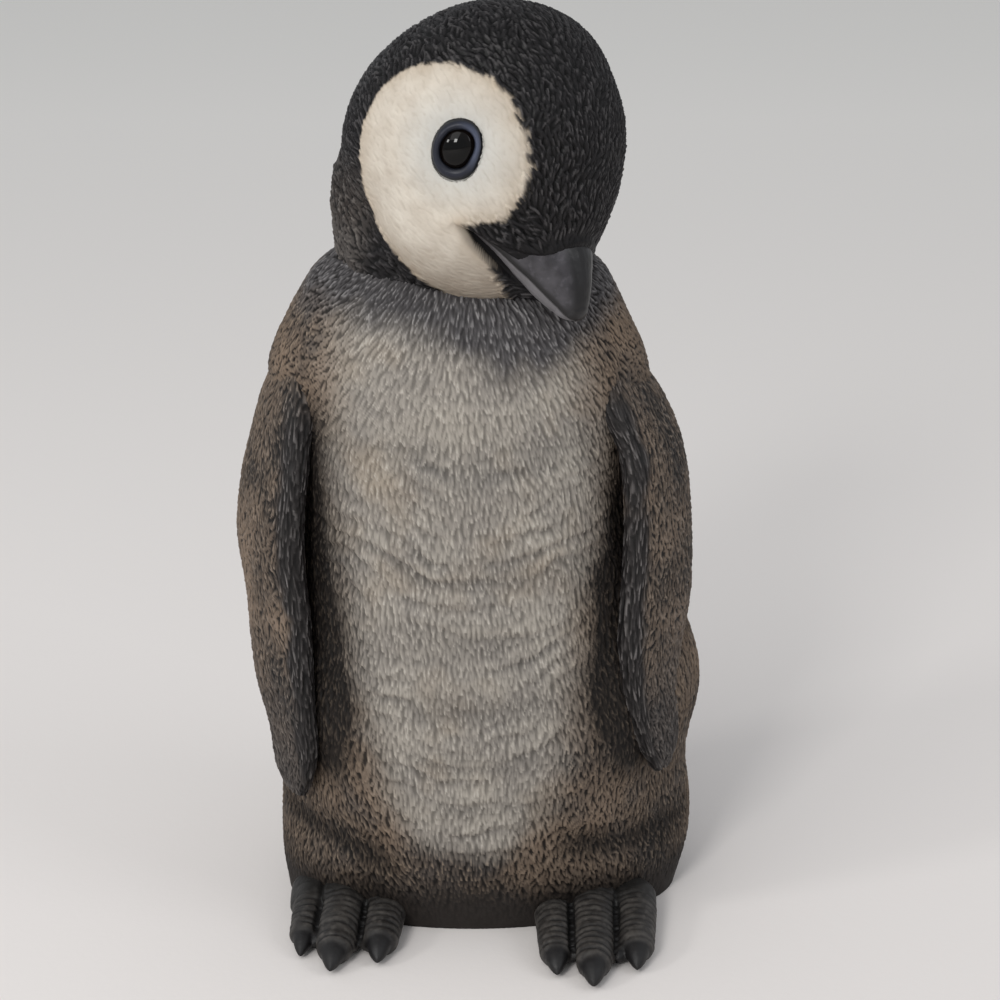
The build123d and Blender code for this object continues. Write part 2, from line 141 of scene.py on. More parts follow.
class Skin:
    """A closed-round grid of points that can be carved and painted."""

    def __init__(self, name, points):
        self.name = name
        self.points = points
        self.rows, self.columns = points.shape[:2]
        self.fur = np.zeros((self.rows, self.columns))
        self.tint = np.full((self.rows, self.columns), 0.5)
        self.paint = {}
        self.measure()

    def measure(self):
        """The outward normal and the two surface directions at each point."""
        across = np.roll(self.points, -1, 1) - np.roll(self.points, 1, 1)
        down = np.gradient(self.points, axis=0)
        normal = np.cross(down, across)
        self.normal = normal / np.maximum(np.linalg.norm(normal, axis=2, keepdims=True), 1e-9)
        self.across_step = np.maximum(np.linalg.norm(across, axis=2) / 2, 0.02)
        self.down_step = np.maximum(np.linalg.norm(down, axis=2), 0.02)
        self.across = across / np.maximum(np.linalg.norm(across, axis=2, keepdims=True), 1e-9)
        self.down = down / np.maximum(np.linalg.norm(down, axis=2, keepdims=True), 1e-9)

    def lift(self, amount):
        """Pushes the points out along the normals and measures again."""
        self.points = self.points + self.normal * amount[..., None]
        self.measure()

    def turn_outward(self, away=None, rows=slice(None)):
        """Runs the columns the other way round if the normals look inwards, and says if it did."""
        if away is None:
            away = self.points - self.points.mean(axis=1, keepdims=True)
        inward = (self.normal[rows] * away).sum(-1).mean() < 0
        if inward:
            self.points = self.points[:, ::-1]
            self.paint = {key: field[:, ::-1] for key, field in self.paint.items()}
            self.measure()
        return inward

    def carve(self, rows, columns, turn, length, width, height, tint, reach):
        """Adds strokes. turn is the lean from straight down, towards the next column."""
        half_rows, half_columns = reach
        r = rows[:, None, None] + np.arange(-half_rows, half_rows + 1)[None, :, None]
        c = columns[:, None, None] + np.arange(-half_columns, half_columns + 1)[None, None, :]
        r, c = np.broadcast_arrays(r, c)
        inside = (r >= 0) & (r < self.rows)
        r = np.clip(r, 0, self.rows - 1)
        c = c % self.columns
        middle = self.points[rows, columns][:, None, None, :]
        along = self.down[rows, columns] * np.cos(turn)[:, None]
        along = along + self.across[rows, columns] * np.sin(turn)[:, None]
        side = np.cross(self.normal[rows, columns], along)
        offset = self.points[r, c] - middle
        u = np.einsum("nijk,nk->nij", offset, along) / length[:, None, None]
        v = np.einsum("nijk,nk->nij", offset, side) / width[:, None, None]
        far = np.einsum("nijk,nk->nij", offset, self.normal[rows, columns])
        value = height[:, None, None] * leaf(u, v)
        value = np.where(inside & (np.abs(far) < stroke_reach), value, 0)
        place = (r * self.columns + c).ravel()
        flat = self.fur.ravel()
        np.maximum.at(flat, place, value.ravel())
        won = value.ravel() >= flat[place] - 1e-9
        won &= value.ravel() > 0
        tints = np.broadcast_to(tint[:, None, None], value.shape).ravel()
        flat_tint = self.tint.ravel()
        flat_tint[place[won]] = tints[won]
        self.fur = flat.reshape(self.rows, self.columns)
        self.tint = flat_tint.reshape(self.rows, self.columns)

    def build(self, close_start=True, close_end=True):
        """Turns the grid into a mesh object in metres, with the paint as attributes."""
        points = self.points.reshape(-1, 3)
        index = np.arange(self.rows * self.columns).reshape(self.rows, self.columns)
        after = np.roll(index, -1, 1)
        quads = np.stack([index[:-1], after[:-1], after[1:], index[1:]], -1).reshape(-1, 4)
        verts = [points]
        caps = []
        count = len(points)
        for wanted, row, flip in ((close_start, 0, True), (close_end, -1, False)):
            if wanted:
                verts.append(self.points[row].mean(0)[None])
                ring, ring_after = index[row], after[row]
                hub = np.full(self.columns, count)
                order = [ring_after, ring, hub] if flip else [ring, ring_after, hub]
                caps.append(np.stack(order, -1))
                count += 1
        mesh = bpy.data.meshes.new(self.name)
        faces = [*map(tuple, quads), *(tuple(f) for cap in caps for f in cap)]
        faces = [list(map(int, face)) for face in faces]
        mesh.from_pydata((np.concatenate(verts) * MM).tolist(), [], faces)
        mesh.update()
        mesh.polygons.foreach_set("use_smooth", np.ones(len(mesh.polygons), bool))
        extra = count - len(points)
        self.paint.setdefault("tint", self.tint)
        for key, field in self.paint.items():
            values = np.concatenate([field.ravel(), np.full(extra, field[-1].mean())])
            layer = mesh.attributes.new(key, "FLOAT", "POINT")
            layer.data.foreach_set("value", values.astype(np.float32))
        piece = bpy.data.objects.new(self.name, mesh)
        bpy.context.scene.collection.objects.link(piece)
        print(self.name, len(mesh.vertices), "points", len(mesh.polygons), "faces")
        return piece


def blurred(field, rows, columns):
    """A running mean over the grid, which wraps round the columns."""
    out = field
    for _ in range(2):
        if rows:
            padded = np.pad(out, ((rows, rows), (0, 0)), mode="edge")
            sums = np.cumsum(np.pad(padded, ((1, 0), (0, 0))), axis=0)
            out = (sums[2 * rows + 1 :] - sums[: -2 * rows - 1]) / (2 * rows + 1)
        if columns:
            padded = np.pad(out, ((0, 0), (columns, columns)), mode="wrap")
            sums = np.cumsum(np.pad(padded, ((0, 0), (1, 0))), axis=1)
            out = (sums[:, 2 * columns + 1 :] - sums[:, : -2 * columns - 1]) / (2 * columns + 1)
    return out


def smooth_rows(table, where):
    """Values of a table with rows (place, values...) at each place, through smooth curves."""
    table = np.array(table, float)
    place, values = table[:, 0], table[:, 1:]
    slope = np.gradient(values, place, axis=0)
    at = np.clip(np.searchsorted(place, where) - 1, 0, len(place) - 2)
    gap = (place[at + 1] - place[at])[:, None]
    t = np.clip((where - place[at]) / (place[at + 1] - place[at]), 0, 1)[:, None]
    start, end = values[at], values[at + 1]
    a, b = slope[at] * gap, slope[at + 1] * gap
    level = start * (1 - t) ** 2 * (1 + 2 * t) + end * t**2 * (3 - 2 * t)
    return level + a * t * (1 - t) ** 2 - b * t**2 * (1 - t)


print("a skin is carved", stroke_reach, "mm from its strokes at most")

# %% [markdown]
# The body is a soft column, wider at the hip than at the shoulder, with a little
# sway to one side. It could be turned on a lathe or melted together from balls, but
# a grid of rings keeps rows and columns along which the down can be laid. The front
# gets more columns than the back, because its strokes are finest.

# %% Body form
body_height, tucked_height = 118.0, 4.0
body_half_width, belly_depth, back_depth = 33.0, 28.0, 28.0
flank_hollow, sway_twist = 1.6, 0.8
# Share of the height, shares of the half width, front and back depth, sway to the side, share of the hollow
body_rows = [
    (0.000, 1.06, 0.72, 0.96, 0.06, 0.0),
    (0.042, 1.09, 0.79, 1.02, 0.07, 0.2),
    (0.120, 1.11, 0.93, 1.08, 0.08, 0.6),
    (0.220, 1.09, 0.99, 1.08, 0.07, 1.0),
    (0.330, 1.135, 1.03, 1.06, 0.095, 1.0),
    (0.490, 1.05, 1.00, 0.98, 0.02, 1.0),
    (0.645, 1.00, 0.95, 0.94, -0.02, 1.0),
    (0.763, 0.985, 0.90, 0.91, -0.045, 0.7),
    (0.840, 0.955, 0.84, 0.88, -0.058, 0.3),
    (0.907, 0.84, 0.77, 0.83, -0.055, 0.0),
    (0.962, 0.73, 0.70, 0.79, -0.045, 0.0),
    (1.000, 0.66, 0.64, 0.76, -0.045, 0.0),
]
# Swellings: degrees round the body, share of the height, spread in degrees and in height, rise
swelling_rows = [
    (270, 0.805, 34, 0.030, 0.50), (268, 0.695, 36, 0.028, 0.40), (272, 0.593, 34, 0.026, 0.45),
    (266, 0.500, 32, 0.026, 0.45), (271, 0.407, 30, 0.026, 0.45), (269, 0.314, 26, 0.026, 0.45),
    (270, 0.229, 22, 0.026, 0.40), (232, 0.280, 16, 0.093, 1.10), (308, 0.290, 16, 0.100, 1.10),
    (222, 0.144, 26, 0.034, -0.90), (318, 0.144, 26, 0.034, -0.90), (214, 0.640, 12, 0.150, -0.90),
    (326, 0.640, 12, 0.150, -0.90), (228, 0.440, 10, 0.100, -0.80), (312, 0.440, 10, 0.100, -0.80),
]


def body_ring(height, turn):
    """Points of the body at a height and at turns round it, the front at -90 degrees."""
    share = np.clip(np.array([height / body_height]), 0, 1)
    wide, front, back, side, hollow = smooth_rows(body_rows, share)[0]
    depth = np.where(np.sin(turn) > 0, back * back_depth, front * belly_depth)
    scoop = np.maximum(0, -np.sin(3 * turn) * np.abs(np.cos(turn)))
    proud = -hollow * flank_hollow * np.where(np.sin(turn) < 0, scoop, 0)
    for at, level, spread, tall, rise in swelling_rows:
        off = (np.degrees(turn) % 360 - at) / spread
        proud = proud + rise * np.exp(-(off**2) - ((share[0] - level) / tall) ** 2)
    across = wide * body_half_width + proud
    deep = depth + proud
    shift = side * body_half_width
    x = shift + across * np.cos(turn) + max(shift, 0) * sway_twist * np.sin(turn)
    return np.stack([x, deep * np.sin(turn), np.full_like(x, height)], -1)


front_columns, back_columns, body_grid_rows = 660, 220, 330
front_turns = np.radians(np.linspace(-205, 25, front_columns, endpoint=False))
back_turns = np.radians(np.linspace(25, 155, back_columns, endpoint=False))
turns = np.concatenate([front_turns, back_turns])
heights = np.linspace(body_height + tucked_height, 0.0, body_grid_rows)
body = Skin("body_skin", np.stack([body_ring(h, turns) for h in heights]))
print("body grid", body.points.shape)

# %% [markdown]
# Two places leave the plain column. At the top the collar is drawn in under the head,
# and low on the back a short blunt tail stands out. The tail could be a piece of its
# own, but on such a casting it belongs to the body, so the grid is pulled out there.

# %% Collar and tail
collar_hub, collar_draw = np.array([-1.2, 1.0, 0.0]), 0.24
tail_x, tail_z, tail_half_width, tail_half_height = 2.3, 9.0, 9.0, 5.0
tail_pull = np.array([0.0, 11.0, -3.6])
# Distance from the middle of the tail, and the share of the pull there
tail_fall = ((0, 0.25, 0.45, 0.6, 0.75, 0.9, 1.05), (1.0, 0.97, 0.85, 0.66, 0.36, 0.10, 0.0))

in_front = ease(0, -16, body.points[..., 1])
tuck = ease(112.0 - 3.5 * in_front, 121.0 - 4.0 * in_front, body.points[..., 2])
body.points = body.points - tuck[..., None] * collar_draw * (body.points - collar_hub) * [1, 1, 0]
tail_across = (body.points[..., 0] - tail_x) / tail_half_width
tail_up = (body.points[..., 2] - tail_z) / tail_half_height
tail_share = np.interp(np.hypot(tail_across, tail_up), *tail_fall)
tail_share = tail_share * ease(20, 24, body.points[..., 1])
body.points = body.points + tail_share[..., None] * tail_pull
body.measure()
print("steps", body.across_step.min().round(2), body.down_step.max().round(2))

# %% [markdown]
# The pale belly is what the eye reads first. On the real piece its outline is a long
# U, so two smooth lines give its left and right edge at each height, and noise makes
# them wander. All that is carved or painted there goes by how far inside it lies.

# %% Belly outline
# Height above the ground, and x of the belly's edge there
belly_left_line = [(0, -8), (16, -11), (27, -15.4), (36, -16.9), (45, -18.2), (54, -20.2), (62, -22.0),
                   (70, -23.6), (78, -24.4), (92, -24.5), (105, -24.0), (122, -20.0)]
belly_right_line = [(0, 7), (16, 10), (28, 15.2), (37, 18.2), (45, 19.8), (54, 20.6), (62, 21.6),
                    (70, 22.9), (78, 23.3), (91, 23.9), (102, 21.5), (122, 18.0)]


def line_at(table, where):
    """A smooth line given by a few points (place, value), read at every point of a grid."""
    return smooth_rows(table, where.ravel())[:, 0].reshape(where.shape)


x, y, z = np.moveaxis(body.points, -1, 0)
front = ease(6, -10, y)
wander = 2.2 * noise(body.points, 16.0, 3) + 0.8 * noise(body.points, 5.0, 4)
inside_belly = np.minimum(x - line_at(belly_left_line, z), line_at(belly_right_line, z) - x) + wander
belly_end = ease(14.5, 20.5, z + 1.4 * noise(body.points, 5.0, 9) - 0.02 * (x - 1) ** 2)
belly = ease(-2.0, 4.5, inside_belly) * front
print("belly share", round(float(belly.mean()), 3))

# %% [markdown]
# Before the fine strokes come the large forms that a sculptor blocks in. The down of
# the belly is puffed up in soft bands that sag in the middle. Each band swells
# quickly at its lower edge and fades upwards, and noise keeps the bands from running
# straight or equally strong.

# %% Belly folds
fold_pitch, fold_rise, fold_crest = 4.3, 0.62, 0.25
sag = 0.013 * (x - 1) ** 2 * ease(104, 84, z)
fold_phase = (z - sag) / fold_pitch + 1.1 * noise(body.points * [0.6, 0.6, 1.0], 11.0, 5)
fold_phase = fold_phase + 0.45 * noise(body.points, 5.0, 6)
fold_share = fold_phase - np.floor(fold_phase)
swelling, fading = ease(0, fold_crest, fold_share), 1 - 0.9 * ease(fold_crest, 1.0, fold_share)
fold_shape = np.where(fold_share < fold_crest, swelling, fading)
fold_reach = ease(94, 80, z) * ease(12, 20, z) * ease(-6, 3, inside_belly) * front
fold_strength = 0.45 + 0.85 * noise(body.points, 6.5, 7)
fold_relief = (fold_shape - 0.45) * fold_reach * np.clip(fold_strength, 0.1, 1)
body.lift(fold_rise * fold_relief)
print("folds", round(float(fold_reach.mean()), 3))

# %% [markdown]
# Six wider valleys cross the belly between the main rolls. Beside it run a groove
# behind each flipper and a crease over the hem. They are shallow, because most of
# their depth is added as painted shade in them.

# %% Valleys and grooves
# Height above the ground, half width and strength of each valley
valley_rows = [(84.5, 17, 0.9), (66.5, 20, 0.7), (53.5, 18, 0.55), (42.5, 17, 0.8), (33.0, 15, 0.5),
               (25.5, 12, 0.45)]
valley_above, valley_below = 3.6, 2.4
crease_depth, groove_depth, valley_depth, swell_height = 0.35, 0.25, 0.30, 0.28
valley = np.zeros(z.shape)
for level, spread, strength in valley_rows:
    reach = np.exp(-(((x - 2) / spread) ** 4))
    off = z - level - sag + 1.6 * noise(body.points, 9.0, int(level))
    valley = np.maximum(valley, strength * reach * bell(off, np.where(off > 0, valley_above, valley_below)))
swell = swell_height * layered(body.points, 13.0, 8) * ease(4, 14, z)
crease = bell(z - 17 - 1.5 * np.sin(x / 7), 3.0) * ease(0, 8, -inside_belly) * front
flank_groove = bell(inside_belly + 3.5, 3.2) * ease(92, 70, z) * ease(24, 45, z) * front
body.lift(swell - crease_depth * crease - groove_depth * flank_groove - valley_depth * valley * front)
print("valleys", round(float(valley.mean()), 3))

# %% [markdown]
# Now the down. It could be particle hair, but the real one is solid resin, so each
# stroke is carved. Strokes are laid in staggered rows over a skin, each a little out
# of place, and all casting skins share the same three helpers: one lays the strokes,
# one carves them, and one raises them and notes how deep the gaps between them are.

# %% Stroke helpers
least_row_step, least_column_step = 0.30, 0.17
strokes_at_once = 4000


def lay_strokes(skin, row_pitch, column_pitch, jitter=0.35):
    """Row and column of strokes laid in staggered rows over a whole skin."""
    down = np.cumsum(np.median(skin.down_step, axis=1))
    rows, columns = [], []
    for count, place in enumerate(np.arange(0.5, down[-1], row_pitch)):
        row = int(np.searchsorted(down, place))
        if row >= skin.rows:
            break
        around = np.cumsum(skin.across_step[row])
        spots = np.arange((count % 2) * 0.5 * column_pitch, around[-1], column_pitch)
        spots = spots + chance.normal(0, jitter * column_pitch, len(spots))
        columns.append(np.searchsorted(around, spots % around[-1]).clip(0, skin.columns - 1))
        step = max(float(np.median(skin.down_step[row])), 0.05)
        offset = chance.normal(0, jitter * row_pitch / step * 0.6, len(spots))
        rows.append(np.clip(row + np.round(offset), 1, skin.rows - 2).astype(int))
    return np.concatenate(rows), np.concatenate(columns)


def carve_in_parts(skin, rows, columns, turn, length, width, height, tint):
    """Carves many strokes, a few thousand at a time, with a window that holds the longest."""
    for start in range(0, len(rows), strokes_at_once):
        part = slice(start, start + strokes_at_once)
        r, c = rows[part], columns[part]
        span = float(length[part].max()) * 1.05
        cross = span * float(np.abs(np.sin(turn[part])).max()) + float(width[part].max())
        window = (int(span / least_row_step) + 1, int(cross / least_column_step) + 1)
        skin.carve(r, c, turn[part], length[part], width[part], height[part], tint[part], window)


def raise_strokes(skin, sink, blur_columns, depth):
    """Lifts a skin by its strokes, and paints the gaps between them as grooves."""
    skin.lift(skin.fur - sink)
    relief = skin.fur - blurred(skin.fur, 3, blur_columns)
    skin.paint["groove"] = np.clip(0.5 - relief / depth, 0, 1)


print("at once", strokes_at_once, "strokes")

# %% [markdown]
# On the chest the strokes fan out from the neck, on the belly they are short and
# hang straight, and on the sides they curl about. The hem below the down stays
# almost smooth, so the strokes fade out there.

# %% Body strokes
body_row_pitch, body_column_pitch = 1.15, 0.57
rows, columns = lay_strokes(body, body_row_pitch, body_column_pitch)
count, spots = len(rows), body.points[rows, columns]
px, py, pz = np.moveaxis(spots, -1, 0)
on_belly = belly[rows, columns]
fan = 0.75 * np.clip(px / 26.0, -1.3, 1.3) * ease(68, 100, pz) * ease(10, -6, py)
curl = (0.35 - 0.22 * on_belly) * chance.normal(0, 1, count) + 0.5 * (1 - on_belly) * noise(spots, 4.0, 12)
on_collar = ease(100, 110, pz)
length = 1.05 + 0.45 * on_collar + 0.40 * chance.random(count) + 0.1 * (1 - on_belly)
width = 0.32 + 0.07 * chance.random(count)
height = 0.36 - 0.08 * on_belly + 0.18 * on_collar + 0.09 * chance.random(count)
furred = ease(1.5, 12.0, pz + 1.5 * noise(spots, 6.0, 13))
height = height * (0.12 + 0.88 * furred)
carve_in_parts(body, rows, columns, fan + curl, length, width, height, chance.random(count))
raise_strokes(body, 0.2, 5, 0.22)
print("body strokes", count)

# %% [markdown]
# The paint follows the sculpture. Masks tell where each colour goes: the pale belly,
# the dark collar under the chin, tan patches on the shoulders and the bare hem.
# They are kept on the mesh as numbers, and the finish mixes the colours from them.

# %% Body paint masks
# x, and the height of the collar's lower edge there, on the front
collar_line = [(-40, 112), (-22, 108.0), (-14, 107), (-6, 105.0), (0.4, 102.0), (5, 99.6), (11.6, 99.4),
               (16.5, 101.5), (20, 105), (40, 112)]
collar_behind = 112.0

x, y, z = np.moveaxis(body.points, -1, 0)
collar_edge = np.where(y > 0, collar_behind, line_at(collar_line, x))
chest = ease(88, 97, z) * front
left_hip = np.exp(-(((x + 21) / 6) ** 2 + ((z - 33) / 9) ** 2))
right_hip = np.exp(-(((x - 23) / 6) ** 2 + ((z - 33) / 10) ** 2))
tan = 0.5 + 0.5 * layered(body.points, 11.0, 23)
tan = tan + 0.5 * chest * ease(6, 20, np.abs(x - 2)) + 0.6 * (left_hip + right_hip) * front
under_wing = bell(np.abs(x - 1.5) - 29.0 + 0.10 * np.clip(60 - z, 0, 40), 4.5)
under_wing = under_wing * ease(24, 34, z) * ease(100, 88, z) * ease(0, -8, y)
gap = bell(inside_belly + 6.0, 5.0) * ease(92, 70, z) * ease(36, 44, z) * front
body.paint["belly"] = np.clip(ease(-3.0, 7.5, inside_belly) * front * belly_end, 0, 1)
body.paint["collar"] = ease(-3.5, 4.5, z - collar_edge + 1.5 * noise(body.points, 3.0, 21))
body.paint["hem"] = ease(14.0, 5.0, z + 1.2 * noise(body.points, 5.0, 22))
body.paint["tan"] = np.clip(tan, 0, 1)
# deep is painted shade: in the gap beside the belly, the groove behind each flipper, under the flippers and
# in the crease over the hem
body.paint["deep"] = np.clip(gap * 1.3 + flank_groove * 0.6 + crease * 0.9 + under_wing * 1.2, 0, 1)
# fold is painted shade: grey on the low side of each belly fold and in the valleys
body.paint["fold"] = np.clip(-1.4 * fold_relief + 0.75 * valley, 0, 1)
body_piece = body.build()

# %% [markdown]
# The head turns to one side and looks down, so it has a frame of its own: x to the
# bird's left, y to the back and z to the crown. Forms are described there and placed
# by one turn. The bill has a second frame, laid along the mouth from its tip.

# %% Head frame
def turn_matrix(axis, degrees):
    """A turn about the x, y or z axis."""
    a, b = math.cos(math.radians(degrees)), math.sin(math.radians(degrees))
    i, j = [(1, 2), (2, 0), (0, 1)]["xyz".index(axis)]
    matrix = np.eye(3)
    matrix[i, i], matrix[i, j], matrix[j, i], matrix[j, j] = a, -b, b, a
    return matrix


head_turn = turn_matrix("z", 46.0) @ turn_matrix("x", 22.5) @ turn_matrix("y", 9.0)
head_centre = np.array([1.7, -2.4, 136.8])
bill_turn = turn_matrix("x", 26.5)
bill_tip = np.array([0.0, -33.4, -16.6])


def from_head(points):
    """Head coordinates to the shared frame."""
    return points @ head_turn.T + head_centre


def to_head(points):
    """The shared frame to head coordinates."""
    return (points - head_centre) @ head_turn


def to_bill(points):
    """Head coordinates to the bill's: x left, y back from the tip, z up from the mouth."""
    return (points - bill_tip) @ bill_turn


def from_bill(points):
    """The bill's coordinates to head coordinates."""
    return points @ bill_turn.T + bill_tip


print("bill tip at", from_head(bill_tip).round(1))

# %% [markdown]
# A head is easiest to sculpt from lumps of clay that are smoothed into each other.
# In code a lump is a distance: below zero inside the form, above zero outside. Two
# lumps are joined by the smaller distance, and a soft minimum leaves a fillet. The
# first helpers make an oval lump and that soft join.

# %% Soft forms
def oval(points, centre, radii):
    """Distance to an oval, roughly, below zero inside it."""
    radii = np.array(radii)
    scaled = (points - np.array(centre)) / radii
    size = np.sqrt((scaled**2).sum(-1))
    return (size - 1) * radii.min()


def soft_union(a, b, blend):
    """Joins two forms with a soft fillet."""
    h = np.clip(0.5 + 0.5 * (b - a) / blend, 0, 1)
    return b + (a - b) * h - blend * h * (1 - h)


print("a join 2 mm wide fills in", -soft_union(0.0, 0.0, 2.0), "mm at its middle")

# %% [markdown]
# The bill grows out of the head, and the feathers end on it along a curved line. So
# the head needs the bill's own sizes first: how wide and tall the upper half is, where
# the feathers stop on it, and the slot along the mouth where its edges lie bare.

# %% Feathers on the bill
# Back from the tip, half width and height of the upper bill
upper_rows = [(0.0, 0.5, 0.5), (0.35, 1.7, 1.6), (1.2, 2.45, 2.6), (2.94, 3.6, 4.0), (5.98, 5.55, 5.75),
              (8.45, 7.15, 6.9), (10.15, 8.5, 7.2), (14.87, 12.0, 7.0), (18.24, 15.5, 6.0)]
# Degrees up from the mouth on the bill's section, and how far back the feathers end there
feather_line = [(0, 18.5), (3, 16.6), (7, 14.8), (12, 13.3), (18, 11.6), (25, 10.4), (35, 9.4), (48, 8.9),
                (66, 9.0), (90, 9.1)]
# Back from the tip, and how far the slot reaches above and below the mouth, and into the head
slot_top = ((7, 14, 16, 18.0, 18.6), (1.0, 0.9, 0.75, 0.4, -0.6))
slot_bottom = ((4, 8, 11, 14, 16, 18.2, 18.8), (2.7, 2.6, 2.4, 2.0, 1.6, 0.5, -0.8))
slot_depth = ((8, 12, 18), (1.9, 1.8, 1.3))


def slot_floor(b):
    """Below zero outside the floor of the slot along the mouth, in the bill's coordinates."""
    return 1.4 + 0.77 * b[..., 1] - np.interp(b[..., 1], *slot_depth) - np.abs(b[..., 0])


def mouth_channel(b):
    """Below zero in the slot along the mouth where the edges of the bill lie bare."""
    above = b[..., 2] - np.interp(b[..., 1], *slot_top)
    below = -b[..., 2] - np.interp(b[..., 1], *slot_bottom)
    return np.maximum(slot_floor(b), np.maximum(above, below))


def feather_start(across, up):
    """How far back the feathers start, by the place on the bill's section."""
    return np.interp(np.degrees(np.arctan2(up, across)), *np.array(feather_line).T)


def feathers_on_bill(b):
    """Below zero in a thin skin of feathers that lies on the upper bill behind the feather line."""
    half_wide, tall = (np.interp(b[..., 1], *np.array(upper_rows)[:, (0, k)].T) for k in (1, 2))
    across, up = np.abs(b[..., 0]) / half_wide, np.maximum(b[..., 2], 0) / tall
    start = feather_start(across, up)
    skin = ((across**2 + up**1.53) ** 0.57 - 1) * np.minimum(half_wide, tall)
    skin = skin + 0.8 - 1.3 * ease(-0.1, 0.7, b[..., 1] - start)
    return np.maximum(skin, np.maximum(-b[..., 2], b[..., 1] - 18.0))


print("feathers end", feather_line[0][1], "mm back at the mouth and", feather_line[-1][1], "mm on the ridge")

# %% [markdown]
# The head itself is four lumps: a skull that is longer to the front, a muzzle that
# carries the bill, a throat under it, and a neck that goes down into the body. The
# slot of the mouth is cut out of them with the same soft join, turned inside out.

# %% Head form
skull_axis = turn_matrix("x", 22.8) @ np.array([0.0, -1.0, 0.0])
skull_front, skull_back, skull_radius, skull_scale = 25.9, 17.6, 22.9, 22.0
# Back from the tip of the bill, half width, and height above and below the mouth
muzzle_rows = np.array([
    (2.0, 1.2, 0.5, 1.2), (5.0, 3.6, 1.2, 3.4), (8.0, 5.9, 4.0, 5.4), (10.0, 7.4, 6.9, 6.9),
    (12.0, 9.3, 9.2, 8.2), (14.0, 11.2, 11.2, 9.4), (19.0, 15.0, 14.0, 11.5), (26.0, 15.0, 14.0, 11.5)])
muzzle_front, muzzle_back = 3.0, 26.0
throat_centre, throat_radii = (0, -9.0, -11.0), (19.3, 16.0, 15.0)
# The neck at these heights: half width, reach to the back, reach to the front
neck_heights = (104, 118, 124, 130, 136)
neck_sizes = ((19.0, 20.6, 21.2, 20.6, 17.5), (18.0, 20.3, 20.6, 19.2, 14.5), (15.0, 16.5, 15.0, 11.0, 6.0))
neck_sway = ((118, 130, 136), (-1.5, -1.1, -0.3))
neck_low, neck_high, neck_scale = 106, 137, 15.0


def skull_form(q):
    """Below zero inside the skull, in head coordinates."""
    along = q @ skull_axis
    reach = np.where(along > 0, skull_front, skull_back)
    across = np.maximum((q**2).sum(-1) - along**2, 0)
    return (np.sqrt((along / reach) ** 2 + across / skull_radius**2) - 1) * skull_scale


def muzzle_form(b):
    """Below zero inside the muzzle and the feathers on the bill, in the bill's coordinates."""
    half_wide, above, below = (np.interp(b[..., 1], muzzle_rows[:, 0], muzzle_rows[:, k]) for k in (1, 2, 3))
    over_mouth = b[..., 2] > 0
    tall = np.where(over_mouth, above, below)
    power = np.where(over_mouth, np.interp(b[..., 1], (10, 16), (1.5, 2.0)), 2.0)
    size = np.sqrt((b[..., 0] / half_wide) ** 2 + np.abs(b[..., 2] / tall) ** power)
    form = (size - 1) * np.minimum(half_wide, tall)
    form = np.maximum(form, np.maximum(muzzle_front - b[..., 1], b[..., 1] - muzzle_back))
    return soft_union(form, feathers_on_bill(b), 0.6)


def neck_form(w):
    """Below zero inside the neck, in the shared frame."""
    wide, back, ahead = (np.interp(w[..., 2], neck_heights, sizes) for sizes in neck_sizes)
    side = np.interp(w[..., 2], *neck_sway)
    deep = np.where(w[..., 1] > 0, back, ahead)
    form = (np.sqrt(((w[..., 0] - side) / wide) ** 2 + (w[..., 1] / deep) ** 2) - 1) * neck_scale
    return np.maximum(form, np.maximum(neck_low - w[..., 2], w[..., 2] - neck_high))


def head_field(q):
    """Below zero inside the whole head, in head coordinates."""
    b = to_bill(q)
    form = soft_union(skull_form(q), muzzle_form(b), 3.0)
    form = soft_union(form, oval(q, throat_centre, throat_radii), 2.5)
    form = soft_union(form, neck_form(from_head(q)), 2.5)
    return -soft_union(-form, mouth_channel(b), 0.4)


print("middle of the head", round(float(head_field(np.zeros(3))), 1), "mm inside")

# %% [markdown]
# The lumps become a skin by casting rays. All start in the middle of the head, and
# halving the way again and again finds where each leaves the form. The rays fan out
# from a pole near the tip of the bill to one at the back, so that rows of the grid run
# round the head and its down can lie from the bill backwards.

# %% Head skin
pole_tilt = 26.4
front_rings, back_rings, head_columns = 275, 36, 720
nearest, farthest, halvings = 4.0, 60.0, 22
pole = turn_matrix("x", pole_tilt) @ np.array([0.0, -1.0, 0.0])
pole_up = turn_matrix("x", pole_tilt) @ np.array([0.0, 0.0, 1.0])
pole_side = np.array([1.0, 0.0, 0.0])
front_polar, back_polar = np.linspace(1.5, 150, front_rings), np.linspace(150.8, 178.5, back_rings)
polar = np.radians(np.concatenate([front_polar, back_polar]))
round_turns = np.linspace(0, 2 * np.pi, head_columns, endpoint=False)
polar_grid, round_grid = np.meshgrid(polar, round_turns, indexing="ij")
sideways = np.cos(round_grid)[..., None] * pole_up + np.sin(round_grid)[..., None] * pole_side
rays = np.cos(polar_grid)[..., None] * pole + np.sin(polar_grid)[..., None] * sideways
near, distant = np.full(polar_grid.shape, nearest), np.full(polar_grid.shape, farthest)
for _ in range(halvings):
    middle = (near + distant) / 2
    within = head_field(rays * middle[..., None]) < 0
    near, distant = np.where(within, middle, near), np.where(within, distant, middle)
head = Skin("head_skin", from_head(rays * near[..., None])[:, ::-1])
outward = ((head.normal * (head.points - head_centre)).sum(-1) > 0).mean()
print("head grid", head.points.shape, "normals outward", round(float(outward), 3))

# %% [markdown]
# The face follows the photograph: a cream patch round the eye that runs down to the
# throat in a lobe under the bill. Its edge is a closed line of points on the side of
# the head, seen from the side. How far each point of the skin is from that line says
# how much cream it gets, and strokes carry the colour over the line raggedly.

